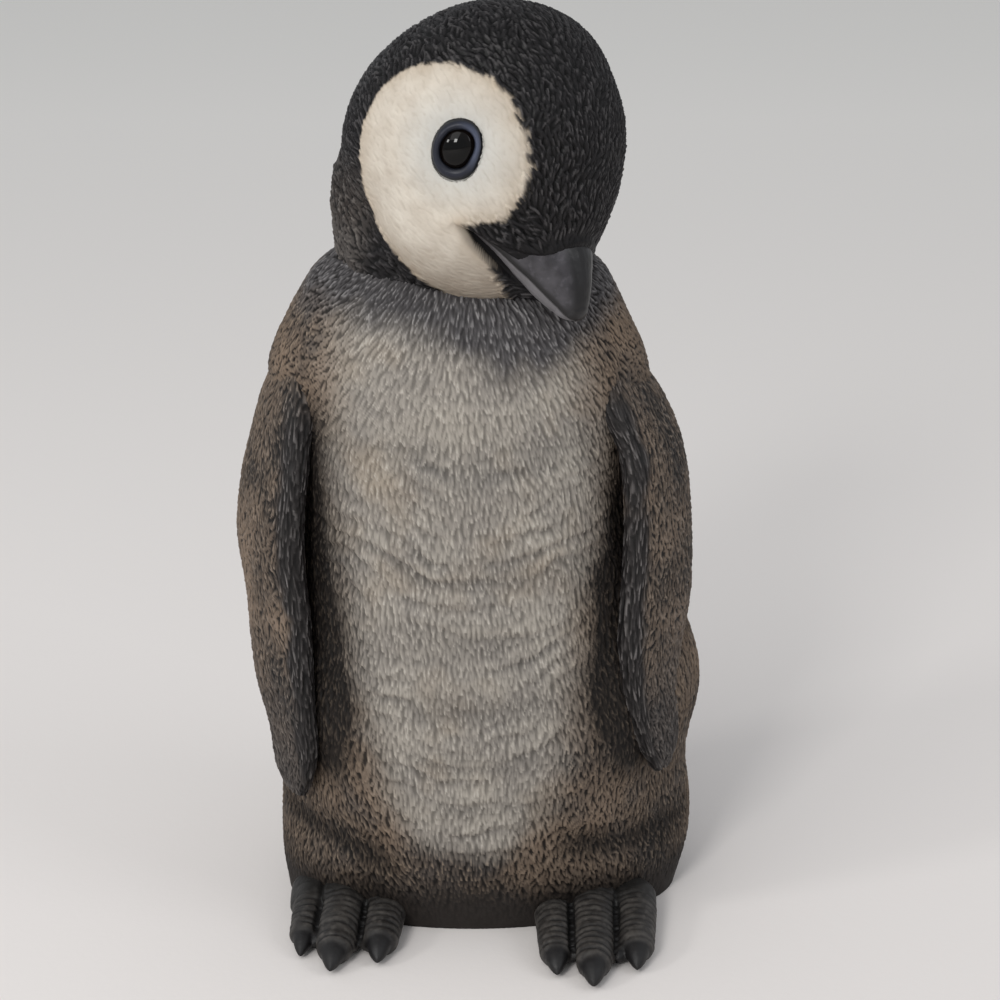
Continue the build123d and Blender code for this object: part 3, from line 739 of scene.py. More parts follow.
# %% Cream patch
# Forward and up from the middle of the head, in head coordinates
patch_line = np.array([
    (17.9, -8.0), (19.8, -6.7), (21.7, -5.3), (22.3, -2.5), (22.3, 0.7), (21.5, 3.8), (20.1, 6.5),
    (18.3, 8.9), (16.0, 11.1), (13.5, 12.7), (11.0, 13.5), (7.6, 13.5), (4.3, 12.7), (0.4, 10.2),
    (-1.9, 7.6), (-3.3, 4.7), (-4.1, 1.3), (-4.0, -1.7), (-3.5, -5.0), (-2.8, -8.2), (-1.8, -11.2),
    (-0.2, -13.9), (1.3, -16.3), (3.9, -18.1), (6.9, -19.3), (10.3, -20.5), (13.7, -21.5), (16.8, -22.0),
    (19.8, -22.0), (22.6, -21.5), (22.9, -17.2), (22.4, -14.4), (20.2, -11.4), (19.0, -9.4)])
eye_spots = {side: np.array([side * 19.5, -12.9, 2.3]) for side in (-1, 1)}


def distance_to_line(u, v, line):
    """Distance to a closed line, above zero inside it."""
    best = np.full(u.shape, 1e9)
    inside = np.zeros(u.shape, bool)
    for (ax, ay), (bx, by) in zip(line, np.roll(line, -1, 0)):
        ex, ey = bx - ax, by - ay
        t = np.clip(((u - ax) * ex + (v - ay) * ey) / (ex * ex + ey * ey), 0, 1)
        best = np.minimum(best, np.hypot(u - ax - t * ex, v - ay - t * ey))
        crosses = (ay > v) != (by > v)
        inside ^= crosses & (u < ax + (v - ay) * ex / (ey if abs(ey) > 1e-9 else 1e-9))
    return np.where(inside, best, -best)


def face_values(skin_points):
    """Distance inside the cream patch, and distance from the nearer eye."""
    q = to_head(skin_points)
    inside = distance_to_line(-q[..., 1], q[..., 2], patch_line)
    side_on = ease(2.0, 4.0, np.abs(q[..., 0]))
    inside = inside * side_on - 6 * (1 - side_on) - 1.6 * (q[..., 0] > 0)
    eye = np.minimum(*(np.linalg.norm(q - spot, axis=-1) for spot in eye_spots.values()))
    return inside, eye


in_patch, from_eye = face_values(head.points)
print("cream share", round(float((in_patch > 0).mean()), 3))

# %% [markdown]
# Each eye looks out of the head along its own axis. Its lid is an almond round that
# axis, pointed towards the bill, so two radii are given at each angle round the eye:
# one for the opening and one for the outer edge. Both the head's socket and the lid
# itself are made from them, which keeps the lid seated.

# %% Eye places
# Left and right are the viewer's: left is the side of -x
both_sides = ((-1, "left"), (1, "right"))
# Degrees from forward over up, radius of the opening, radius of the outer edge
lid_rows = np.array([
    (0, 2.3, 3.65), (22, 2.45, 3.7), (45, 2.8, 4.0), (70, 3.15, 4.5), (90, 3.2, 4.75), (112, 3.1, 4.7),
    (135, 2.95, 4.45), (160, 2.75, 4.1), (180, 2.7, 4.0), (202, 2.75, 4.05), (225, 2.85, 4.3),
    (250, 3.0, 4.75), (270, 3.05, 5.0), (292, 3.0, 5.0), (315, 2.8, 4.65), (338, 2.45, 4.05),
    (360, 2.3, 3.65)])
lid_angles, opening, lid_edge = np.radians(lid_rows[:, 0]), lid_rows[:, 1], lid_rows[:, 2]


def unit(vector):
    """The vector at length one."""
    return np.array(vector, float) / np.linalg.norm(vector)


def eye_axes(side):
    """Outward, forward and upward directions at one eye, in head coordinates."""
    out = unit(eye_spots[side])
    ahead = unit(np.array([0.0, -1.0, 0.0]) + out[1] * out)
    up = np.cross(ahead, out) * side
    return out, ahead, up * np.sign(up[2])


print("eyes face", [from_head(eye_axes(side)[0] * 20).round(1).tolist() for side, _ in both_sides])

# %% [markdown]
# Two things are pressed into the head before its strokes: a soft hollow round each
# eye and a well that the lid stands in. The cream patch stands a little proud of the
# dark cap, as it does where two coats of down meet. The slot of the mouth is already
# cut, and stays smooth. Masks tell the strokes how near the slot and the bill are.

# %% Face relief
well_depth, socket_depth, patch_rise, head_swell = 1.9, 0.9, 0.35, 0.30
on_bill = to_bill(to_head(head.points))
bill_x, bill_y, bill_z = np.moveaxis(on_bill, -1, 0)
by_slot = ease(0.9, 0.1, mouth_channel(on_bill))
at_section = feather_start(np.abs(bill_x) / (1.4 + 0.7 * bill_y.clip(0)), np.maximum(bill_z, 0) / 7.0)
by_bill = ease(2.2, 0.6, bill_y - at_section) * (bill_z > -3) * ease(14.0, 12.0, bill_y)
bare = by_slot * ease(-1.6, -0.6, slot_floor(on_bill))
well = np.zeros(from_eye.shape)
for side, _ in both_sides:
    out, ahead, up = eye_axes(side)
    q = to_head(head.points)
    u, v = q @ ahead, q @ up
    edge = np.interp(np.arctan2(v, u) % (2 * np.pi), lid_angles, lid_edge)
    well = np.maximum(well, ease(1.0, 0.80, np.hypot(u, v) / edge) * (q @ out > 0))
head.lift(-well_depth * well)
relief = head_swell * layered(head.points, 9.0, 31) - socket_depth * bell(from_eye - 3.0, 3.6)
head.lift((relief + patch_rise * ease(-0.8, 0.6, in_patch)) * (1 - bare))
print("bare share", round(float(bare.mean()), 4))

# %% [markdown]
# The down of the head is longer than that of the body and lies backwards from the
# bill. On the cream patch it is almost flat, and near the eye, the mouth and the bill
# it shrinks to nothing.

# %% Head strokes
head_row_pitch, head_column_pitch, least_step = 1.25, 0.62, 0.045
in_patch, from_eye = face_values(head.points)
rows, columns = lay_strokes(head, head_row_pitch, head_column_pitch)
keep = head.across_step[rows, columns] > least_step
rows, columns = rows[keep], columns[keep]
count, spots = len(rows), head.points[rows, columns]
cream = ease(-0.3, 0.5, in_patch[rows, columns] + 0.5 * noise(spots, 1.2, 33))
turn = 0.30 * chance.normal(0, 1, count) + 0.7 * noise(spots, 3.5, 34) * (1 - cream)
length = 1.10 + 0.55 * chance.random(count) - 0.10 * cream
width = 0.37 + 0.09 * chance.random(count)
height = (0.50 + 0.12 * chance.random(count)) * (1 - 0.82 * cream) * (1 - 0.9 * by_slot[rows, columns])
height = height * (1 - 0.75 * by_bill[rows, columns])
height = height * (1 - 0.75 * np.exp(-((from_eye[rows, columns] / 5.0) ** 4)))
carve_in_parts(head, rows, columns, turn, length, width, height, chance.random(count))
print("head strokes", count)

# %% [markdown]
# At the pole on the back of the head the columns run together, and rows of strokes
# would leave a bald disc. There the strokes are laid one by one on a flat patch
# instead, in rows that hang straight down.

# %% Strokes round the pole
rows_in_front, crowded_step = 200, 0.055
pole_radius, pole_half_span = 6.2, 7
pole_row_pitch, pole_column_pitch, pole_length, pole_width = 1.25, 0.66, 1.35, 0.41
crowded = np.median(head.across_step, axis=1)[rows_in_front:] > crowded_step
pole_row = int(np.argmin(crowded)) + rows_in_front
pole_middle = head.points[-1].mean(0)
pole_out = unit(pole_middle - head_centre)
pole_down = unit(np.array([0, 0, -1.0]) + pole_out[2] * pole_out)
pole_across = np.cross(pole_out, pole_down)
down_from_pole = (head.points[pole_row:] - pole_middle) @ pole_down
across_from_pole = (head.points[pole_row:] - pole_middle) @ pole_across
for row in np.arange(-pole_half_span, pole_half_span, pole_row_pitch):
    for column in np.arange(-pole_half_span, pole_half_span, pole_column_pitch):
        a, b = row + 0.4 * chance.normal(), column + 0.2 * chance.normal()
        tone, tall = chance.random(), 0.50 + 0.12 * chance.random()
        if math.hypot(a, b) < pole_radius:
            u, v = (down_from_pole - a) / pole_length, (across_from_pole - b) / pole_width
            value = tall * leaf(u, v) * (np.abs(u) < 1)
            won = value > head.fur[pole_row:]
            head.fur[pole_row:] = np.where(won, value, head.fur[pole_row:])
            head.tint[pole_row:] = np.where(won, tone, head.tint[pole_row:])
raise_strokes(head, 0.12, 4, 0.16)
print("rows laid by hand", head.rows - pole_row)

# %% [markdown]
# The head's masks say where the cream is and how near its edge, how far the eye is,
# and where the mouth is bare. One more darkens the lower patch, partly with tan and
# partly with painted shade. Two more fade the cap into brown towards the neck, behind
# the patch only, so that head and body look like one coat.

# %% Head paint masks
in_patch, from_eye = face_values(head.points)
ragged = in_patch + 0.45 * (head.tint - 0.5) + 0.25 * noise(head.points, 1.3, 35)
above_ground = head.points[..., 2]
behind = ease(-3.0, 4.0, to_head(head.points)[..., 1])
head.paint["cream"] = ease(-0.35, 0.35, ragged)
head.paint["edge"] = np.exp(-np.clip(in_patch, 0, 50) / 2.2)
head.paint["eye"] = from_eye
head.paint["bare"] = bare
# low darkens the patch towards its bottom: partly tan, partly painted shade
head.paint["low"] = ease(126, 112, above_ground)
head.paint["seam"] = behind * ease(127, 116, above_ground + 1.5 * noise(head.points, 4.0, 37))
head.paint["nape"] = behind * ease(136, 123, above_ground + 2.0 * noise(head.points, 6.0, 36))
head_piece = head.build()

# %% [markdown]
# Each eye is a dark glass bead behind a moulded lid. A plain ball would do from afar,
# but the bead is an oval one that is flatter to the front, so that its highlights
# bend as in a real eye. Only the half that shows is made.

# %% Glass beads
eye_middle = 21.45
bead_ahead, bead_up, bead_out = 3.4, 3.95, 3.1
bead_sink, bead_back = 0.55, 0.2
bead_rings, bead_columns = 48, 96


def glass_bead(side, name):
    """The skin of one glass eye."""
    out, ahead, up = eye_axes(side)
    around = np.linspace(0, 2 * np.pi, bead_columns, endpoint=False)
    oval_ring = bead_ahead * np.cos(around)[:, None] * ahead + bead_up * np.sin(around)[:, None] * up
    rings = []
    for lean in np.linspace(0.02, np.pi * 0.5, bead_rings):
        deep = eye_middle - bead_sink + bead_out * math.cos(lean)
        rings.append(deep * out - bead_back * ahead + math.sin(lean) * oval_ring)
    bead = Skin(f"{name}_glass_eye", from_head(np.array(rings)))
    bead.paint["from_middle"] = np.linspace(0, 1, bead_rings)[:, None] * np.ones((1, bead_columns))
    bead.turn_outward(bead.points - from_head(eye_middle * out))
    return bead


eye_pieces = {name: glass_bead(side, name).build() for side, name in both_sides}

# %% [markdown]
# The lid is a rolled rim round the bead. It could be a bevelled curve, but a curve
# has the same section all the way round, and this lid is wider above and below than
# at its corners. So one profile is stretched between the opening and the outer edge
# at every angle, and the ring follows the roundness of the head.

# %% Eyelids
# From the outer foot over the crest to the glass: share of the width, and rise
lid_profile = [(1.25, -1.5), (1.12, -0.5), (1.0, 0.10), (0.86, 0.48), (0.66, 0.74), (0.45, 0.78),
               (0.25, 0.62), (0.08, 0.36), (0.0, 0.05), (-0.02, -0.4), (0.02, -1.2)]
lid_rings, lid_columns, lid_crest_ring, lid_blur = 36, 160, 10, 11
lid_seat, lid_round, lid_spread, lid_light_angle = 1.75, 0.030, 1.06, 0.7


def lid_radius(around, radii):
    """A radius of the lid at each angle, with its corners rounded by a running mean."""
    three_rounds = np.tile(np.interp(around, lid_angles, radii), 3)
    rounded = np.convolve(three_rounds, np.ones(lid_blur) / lid_blur, "same")
    return rounded[lid_columns : 2 * lid_columns]


def eyelid(side, name):
    """The skin of the lid round one eye."""
    out, ahead, up = eye_axes(side)
    around = np.linspace(0, 2 * np.pi, lid_columns, endpoint=False)
    inner, outer = lid_radius(around, opening), lid_radius(around, lid_edge)
    steps = np.linspace(0, len(lid_profile) - 1, lid_rings)
    profile = smooth_rows([(k, *row) for k, row in enumerate(lid_profile)], steps)
    rings = []
    for share, rise in profile:
        radius = inner + share * ((outer - inner) / lid_spread)
        flat = radius[:, None] * (np.cos(around)[:, None] * ahead + np.sin(around)[:, None] * up)
        rings.append((eye_middle + lid_seat + rise - lid_round * radius**2)[:, None] * out + flat)
    lid = Skin(f"{name}_eyelid", from_head(np.array(rings)))
    lid.paint["rise"] = profile[:, 1:] * np.ones((1, lid_columns))
    # high is a painted highlight, lightest towards lid_light_angle on the upper front
    lid.paint["high"] = (0.5 + 0.5 * np.cos(around - lid_light_angle))[None, :] * np.ones((lid_rings, 1))
    lid.turn_outward(head_turn.dot(out), lid_crest_ring)
    lid.lift(0.06 * noise(lid.points, 1.1, 41))
    return lid


lid_pieces = {name: eyelid(side, name).build(False, False) for side, name in both_sides}

# %% [markdown]
# The bill is two wedges that meet along the mouth line and run back as thin edges
# to the corner of the mouth, under the feathers. Each is a grid of cross-sections
# from the tip to that corner. The lower one is paler, as on the real object.

# %% Bill
# Points of the half section from the mouth line to the middle: shares of the half width and height
upper_section = [(1.0, 0.0), (0.99, 0.07), (0.95, 0.20), (0.86, 0.40), (0.72, 0.62), (0.54, 0.80),
                 (0.34, 0.93), (0.16, 0.985), (0.0, 1.0)]
lower_section = [(1.0, 0.0), (0.985, 0.35), (0.95, 0.7), (0.88, 0.95), (0.6, 1.1), (0.3, 1.15), (0.0, 1.15)]
# Back from the tip, half width and depth of the lower bill
lower_rows = [(0.2, 0.5, 0.3), (0.6, 1.4, 0.7), (2.94, 3.3, 1.7), (5.98, 5.3, 2.2), (8.45, 6.9, 2.2),
              (10.15, 8.25, 2.0), (14.87, 11.75, 1.5), (18.3, 15.3, 0.8)]
bill_rings, bill_columns = 90, 96
tip_crowding, under_share = 1.3, 0.6


def bill_ring(section, sign, back, half_width, tall):
    """One closed section of the bill, in the bill's coordinates."""
    wide = np.array([w for w, _ in section]) * half_width
    high = np.array([h for _, h in section]) * tall * sign
    under = wide[0] * under_share
    x = np.concatenate([wide, -wide[::-1][1:], [-under, 0.0, under], wide[:1]])
    z = np.concatenate([high, high[::-1][1:], [0.0, 0.0, 0.0], high[:1]])
    corners = np.stack([x, np.full_like(x, back), z], -1)
    steps = np.linspace(0, len(corners) - 1, bill_columns, endpoint=False)
    return np.stack([np.interp(steps, np.arange(len(corners)), corners[:, k]) for k in range(3)], -1)


def bill_half(name, rows, section, sign):
    """The skin of one half of the bill; sign is 1 for the upper one and -1 for the lower one."""
    places = np.linspace(0, 1, bill_rings) ** tip_crowding * rows[-1][0]
    rings = [bill_ring(section, sign, back, *sizes) for back, sizes in zip(places, smooth_rows(rows, places))]
    half = Skin(name, from_head(from_bill(np.array(rings))))
    half.turn_outward()
    half.lift(0.05 * layered(half.points, 2.4, 43) + 0.02 * noise(half.points, 0.5, 44))
    b = to_bill(to_head(half.points))
    half.paint["ridge"] = ease(2.9, 1.3, np.abs(b[..., 0]) - 0.12 * b[..., 1]) * (b[..., 2] > 0.5)
    half.paint["mouth"] = ease(1.15, 0.35, b[..., 2]) if sign > 0 else ease(0.45, 0.1, -b[..., 2])
    half.paint["back"] = b[..., 1]
    return half


upper_beak = bill_half("upper_beak", upper_rows, upper_section, 1).build()
lower_beak = bill_half("lower_beak", lower_rows, lower_section, -1).build()

# %% [markdown]
# The flippers are long blades with a thick rounded front edge. They lie against the
# sides, their tops grow out of the shoulders, and their tips stand a little clear.
# Each is a stack of sections down the blade. A section is an oval, blunt to the front
# and slim to the back, that leans with the side of the body.

# %% Flipper form
flipper_lengths = {"left": 75.0, "right": 70.6}
shoulder_share, flipper_lean, flipper_chord, flipper_thickness = 0.845, 24.0, 20.5, 6.6
flipper_rings, flipper_columns = 250, 210
# The round knob at the top of the front edge: share of the length, spread and rise
knob_place, knob_spread, knob_rise, flipper_swell = 0.10, 0.055, 0.8, 0.30
# Share of the length, shares of the half width and belly depth, lean, chord and thickness
flipper_rows = {
    "left": [
        (0.00, 0.86, 0.14, 0.75, 0.60, 0.70),
        (0.08, 0.92, 0.20, 0.95, 0.86, 0.92),
        (0.21, 0.98, 0.29, 1.09, 1.00, 1.00),
        (0.40, 1.035, 0.36, 1.30, 1.00, 1.00),
        (0.58, 0.995, 0.41, 1.31, 0.96, 0.94),
        (0.76, 0.967, 0.46, 1.29, 0.90, 0.84),
        (0.89, 0.925, 0.52, 1.25, 0.74, 0.68),
        (0.97, 0.92, 0.55, 1.25, 0.50, 0.46),
        (1.00, 0.91, 0.56, 1.25, 0.28, 0.30),
    ],
    "right": [
        (0.00, 0.72, 0.14, 0.75, 0.62, 0.70),
        (0.08, 0.806, 0.20, 1.00, 0.90, 0.92),
        (0.21, 0.933, 0.29, 1.05, 1.00, 1.00),
        (0.40, 0.976, 0.36, 1.28, 1.00, 1.00),
        (0.58, 0.970, 0.41, 1.42, 0.98, 0.94),
        (0.76, 0.950, 0.46, 1.30, 0.90, 0.84),
        (0.89, 0.975, 0.51, 1.25, 0.70, 0.68),
        (0.97, 1.005, 0.53, 1.22, 0.44, 0.46),
        (1.00, 1.006, 0.54, 1.22, 0.24, 0.30),
    ],
}
places = np.linspace(0, 1, flipper_rings)


def flipper_blade(side, name):
    """The skin of one flipper, and the angle of its columns from the front edge."""
    angle = np.linspace(0, 2 * np.pi, flipper_columns, endpoint=False)
    blunt = np.where(np.cos(angle) > 0, 0.6, 1.0)
    bulk = np.copysign(np.abs(np.sin(angle)) ** blunt, np.sin(angle)) * (0.88 + 0.12 * np.cos(angle))
    rings = []
    for down, (wide, ahead, lean, chord, thick) in zip(places, smooth_rows(flipper_rows[name], places)):
        slope = math.radians(lean * flipper_lean)
        height = shoulder_share * body_height - down * flipper_lengths[name]
        middle = np.array([side * wide * body_half_width, -ahead * belly_depth, height])
        forward = np.array([-side * math.sin(slope), -math.cos(slope), 0])
        sideways = np.array([-forward[1], forward[0], 0])
        ring = middle + (np.cos(angle) * flipper_chord * chord / 2)[:, None] * forward
        rings.append(ring + (bulk * flipper_thickness * thick / 2)[:, None] * sideways)
    blade = Skin(f"{name}_wing", np.array(rings))
    if blade.turn_outward():
        angle = angle[::-1]
    knob = bell(places - knob_place, knob_spread)[:, None] * ease(0.3, 0.9, np.cos(angle))[None, :]
    blade.lift(flipper_swell * layered(blade.points, 9.0, 51) + knob_rise * knob)
    return blade, angle


print("flippers", flipper_lengths, "mm long")

# %% [markdown]
# The broad outer face of a flipper carries curled strokes, like the flanks. Its front
# edge is a darker band of long fine feathers that all lie along the edge. One mask,
# with a wandering border, tells the two apart for the strokes and for the paint.

# %% Flipper strokes
flipper_row_pitch, flipper_column_pitch = 1.15, 0.58


def feather_flipper(blade, angle, side):
    """Carves the strokes of a flipper and keeps its paint masks."""
    wander = 0.14 * noise(blade.points, 7.0, 55) + 0.06 * noise(blade.points, 2.5, 56)
    below_shoulder = ease(0.0, 0.16, places + 0.04 * (side > 0))[:, None]
    leading = ease(0.70, 0.90, np.cos(angle)[None, :] + wander) * below_shoulder
    rows, columns = lay_strokes(blade, flipper_row_pitch, flipper_column_pitch)
    count, strip = len(rows), leading[rows, columns]
    curl = 0.40 * chance.normal(0, 1, count) + 0.8 * noise(blade.points[rows, columns], 3.6, 52)
    turn = (1 - strip) * curl + 0.07 * chance.normal(0, 1, count)
    length = 1.05 + 0.45 * chance.random(count) + strip * (1.2 + 1.6 * chance.random(count))
    width = 0.33 + 0.08 * chance.random(count) - 0.03 * strip
    height = 0.36 + 0.10 * chance.random(count) + 0.14 * strip * chance.random(count)
    carve_in_parts(blade, rows, columns, turn, length, width, height, chance.random(count))
    raise_strokes(blade, 0.15, 4, 0.2)
    blade.paint["leading"] = leading
    blade.paint["tan"] = np.clip(0.5 + 0.6 * layered(blade.points, 8.0, 53), 0, 1)
    blade.paint["tip"] = ease(0.60, 0.95, places)[:, None] * np.ones((1, flipper_columns))


flipper_pieces = {}
for side, name in both_sides:
    blade, angle = flipper_blade(side, name)
    feather_flipper(blade, angle, side)
    flipper_pieces[name] = blade.build()

# %% [markdown]
# The feet come out from under the hem: a low fleshy pad, three thick toes with a
# web between them, and a dark claw on each. Overlapping closed forms are melted
# into one skin with a voxel remesh, as a sculptor presses clay together, and the
# folds across the toes are cut in afterwards.

# %% Melting helpers
def tube(centres, radii, squash, count=40):
    """Rings of points along centres, flattened by squash in height."""
    around = np.linspace(0, 2 * np.pi, count, endpoint=False)
    rings = []
    for k, (centre, radius) in enumerate(zip(centres, radii)):
        ahead = unit(centres[min(k + 1, len(centres) - 1)] - centres[max(k - 1, 0)])
        side = unit(np.cross(ahead, [0, 0, 1]))
        up = np.cross(side, ahead)
        ring = np.cos(around)[:, None] * side + squash * np.sin(around)[:, None] * up
        rings.append(centre + radius * ring)
    return np.array(rings)


def melt(name, skins, voxel):
    """One mesh from several closed grids, remeshed and smoothed."""
    parts = [skin.build() for skin in skins]
    bpy.ops.object.select_all(action="DESELECT")
    for part in parts:
        part.select_set(True)
    bpy.context.view_layer.objects.active = parts[0]
    bpy.ops.object.join()
    piece = parts[0]
    piece.name = name
    remesh = piece.modifiers.new("remesh", "REMESH")
    remesh.mode = "VOXEL"
    remesh.voxel_size = voxel * MM
    smooth = piece.modifiers.new("smooth", "SMOOTH")
    smooth.factor, smooth.iterations = 0.5, 5
    flat = bpy.data.meshes.new_from_object(piece.evaluated_get(bpy.context.evaluated_depsgraph_get()))
    bpy.data.objects.remove(piece)
    piece = bpy.data.objects.new(name, flat)
    bpy.context.scene.collection.objects.link(piece)
    flat.polygons.foreach_set("use_smooth", np.ones(len(flat.polygons), bool))
    return piece


def read_points(mesh):
    """Points and normals of a mesh, in millimetres."""
    points, normals = np.zeros(len(mesh.vertices) * 3), np.zeros(len(mesh.vertices) * 3)
    mesh.vertices.foreach_get("co", points)
    mesh.vertices.foreach_get("normal", normals)
    return points.reshape(-1, 3) / MM, normals.reshape(-1, 3)


def write_points(mesh, points):
    """Puts points in millimetres back into a mesh."""
    mesh.vertices.foreach_set("co", (points * MM).astype(np.float32).ravel())
    mesh.update()


def write_paint(mesh, key, values):
    """Stores one number for each point of a mesh."""
    layer = mesh.attributes.get(key) or mesh.attributes.new(key, "FLOAT", "POINT")
    layer.data.foreach_set("value", np.asarray(values, np.float32))


foot_voxel = 0.26
print("feet melt at", foot_voxel, "mm")

# %% [markdown]
# A toe is a flattened tube that narrows to its end, with rounded ends so that no flat
# cut shows after melting. The claw is a thinner tube that starts inside the toe and
# bends down to the ground. The pad and the web are wide, low tubes under the toes.

# %% Toes, pad and web
toe_start_y, toe_start_z = -13.0, 3.6
toe_squash, toe_end_rise = 0.94, 0.80
claw_inset, claw_rise, claw_length, claw_hook, claw_share, claw_taper = 1.9, 0.25, 5.9, 1.5, 0.80, 0.74
foot_middle_x, pad_radius, pad_squash, web_radius, web_squash = 21.3, 10.4, 0.40, 8.4, 0.27
# Where the pad and the web start, from the middle of the foot, and how far they run
pad_start, pad_run = np.array([0, 6.0, 3.4]), np.array([0, -14.0, -1.0])
web_start, web_drop, web_short = np.array([0, -3.0, 2.1]), -0.4, 16.5
# x of the toe's root, x and y of its end, radius at the root and at the end
toe_table = {
    "left": [
        (-27.5, -28.4, -27.2, 3.2, 2.5),
        (-21.5, -22.9, -33.0, 4.5, 3.0),
        (-14.5, -15.3, -30.2, 3.9, 3.0),
    ],
    "right": [
        (14.5, 14.7, -34.0, 3.6, 2.8),
        (21.5, 20.8, -38.0, 4.4, 3.0),
        (28.9, 28.3, -32.4, 3.9, 2.9),
    ],
}
t = np.linspace(0, 1, 30)[:, None]
s = t[:, 0]


def toe_ends(name):
    """Root, tip and root radius of each toe of one foot."""
    ends = []
    for root_x, tip_x, tip_y, thick, thin in toe_table[name]:
        root = np.array([root_x, toe_start_y, toe_start_z])
        tip = np.array([tip_x, tip_y, thin * toe_end_rise])
        ends.append((root, tip, thick))
    return ends


def toe_and_claw(root, tip, thick, thin):
    """The two skins of one toe."""
    radii = (thick + (thin - thick) * s**1.6) * np.clip(1 - ((s - 0.5) / 0.53) ** 14, 0.02, 1) ** 0.5
    ahead = unit((tip - root) * [1, 1, 0])
    start = tip - ahead * claw_inset + ahead * claw_length * t
    line = start + np.array([0, 0, claw_rise]) - np.array([0, 0, 1.0]) * (claw_hook * t**2)
    claw_radii = (claw_share * thin) * (1 - claw_taper * s**1.7) * np.clip(1 - s**10, 0.05, 1)
    toe = Skin("toe", tube(root + (tip - root) * t, radii, toe_squash))
    return [toe, Skin("claw", tube(line, claw_radii, 1.0, 28))]


def pad_and_web(side, toes):
    """The two wide skins that join the toes of one foot."""
    middle = np.array([side * foot_middle_x, toe_start_y, 0.0])
    pad_radii = pad_radius * np.sqrt(np.clip(1 - ((s - 0.45) / 0.58) ** 4, 0.02, 1))
    web_radii = web_radius * np.sqrt(np.clip(1 - (s / 1.02) ** 6, 0.02, 1))
    web_reach = np.array([tip for _, tip, _ in toes])[:, 1].mean() + web_short
    pad_line = middle + pad_start + pad_run * t
    web_line = middle + web_start + np.array([0, web_reach, web_drop]) * t
    pad = Skin("pad", tube(pad_line, pad_radii, pad_squash))
    return [pad, Skin("web", tube(web_line, web_radii, web_squash))]


def melted_foot(side, name):
    """One foot as a single mesh, still without its folds."""
    toes = toe_ends(name)
    skins = []
    for (root, tip, thick), row in zip(toes, toe_table[name]):
        skins += toe_and_claw(root, tip, thick, row[-1])
    skins += pad_and_web(side, toes)
    for skin in skins:
        skin.turn_outward()
    return melt(f"{name}_toes", skins, foot_voxel)


print("toes", {name: len(rows) for name, rows in toe_table.items()})

# %% [markdown]
# The melted foot is one mesh without rows, so its folds go by distance. Each point
# belongs to the toe that it is nearest to. The way along that toe gives the ring
# folds and the claw, and where two toes are equally near there is a dark seam.

# %% Feet
toe_fold_pitch, fold_cut, seam_cut, foot_swell = 1.55, 0.36, 0.75, 0.13


def toe_marks(points, toes):
    """How much each point belongs to a ring fold, to a claw and to the seam between toes."""
    best, between = np.full(len(points), 1e9), np.full(len(points), 1e9)
    ring_mark, claw_mark = np.zeros(len(points)), np.zeros(len(points))
    for root, tip, thick in toes:
        axis = tip - root
        span = np.linalg.norm(axis)
        along = (points - root) @ axis / span
        foot_point = np.outer(np.clip(along, 0, span), axis / span)
        offset = np.linalg.norm(points - root - foot_point, axis=1) / thick
        mine = offset < best
        between = np.where(mine, best - offset, np.minimum(between, offset - best))
        best = np.where(mine, offset, best)
        fold = (along + 0.35 * offset * thick) / toe_fold_pitch + 0.22 * noise(points, 3.0, 61)
        groove = bell(fold - np.floor(fold) - 0.5, 0.20)
        groove = groove * ease(3.0, 6.5, along) * ease(span - 0.2, span - 1.6, along)
        ring_mark = np.where(mine, groove * (0.55 + 0.45 * noise(points, 2.5, 63)), ring_mark)
        claw_mark = np.where(mine, ease(span - 1.2, span + 0.4, along), claw_mark)
    return ring_mark, claw_mark, bell(np.clip(between, 0, 9), 0.17) * (1 - claw_mark)


foot_pieces = {}
for side, name in both_sides:
    foot = melted_foot(side, name)
    points, normals = read_points(foot.data)
    ring_mark, claw_mark, seam = toe_marks(points, toe_ends(name))
    top = ease(-0.35, 0.25, normals[:, 2])
    cut = fold_cut * ring_mark * top + seam_cut * seam
    points = points - normals * (cut - foot_swell * layered(points, 1.8, 62) * (1 - 0.6 * claw_mark))[:, None]
    points[:, 2] = np.maximum(points[:, 2], 0.0)
    write_points(foot.data, points)
    write_paint(foot.data, "groove", np.clip(ring_mark * top + 1.0 * seam, 0, 1))
    write_paint(foot.data, "claw", claw_mark)
    write_paint(foot.data, "shade", ease(-22.0, -15.0, points[:, 1] + 0.4 * (points[:, 2] - 4)))
    foot_pieces[name] = foot
    print(name, "foot", len(points), "points, lowest", points[:, 2].min().round(2))

# %% [markdown]
# The finishes are all paint on resin. Each starts from a few paint colours, mixes
# them by the masks, darkens the grooves as a wash does and lightens the ridges as
# dry brushing does. Small noise breaks up every colour and every sheen.

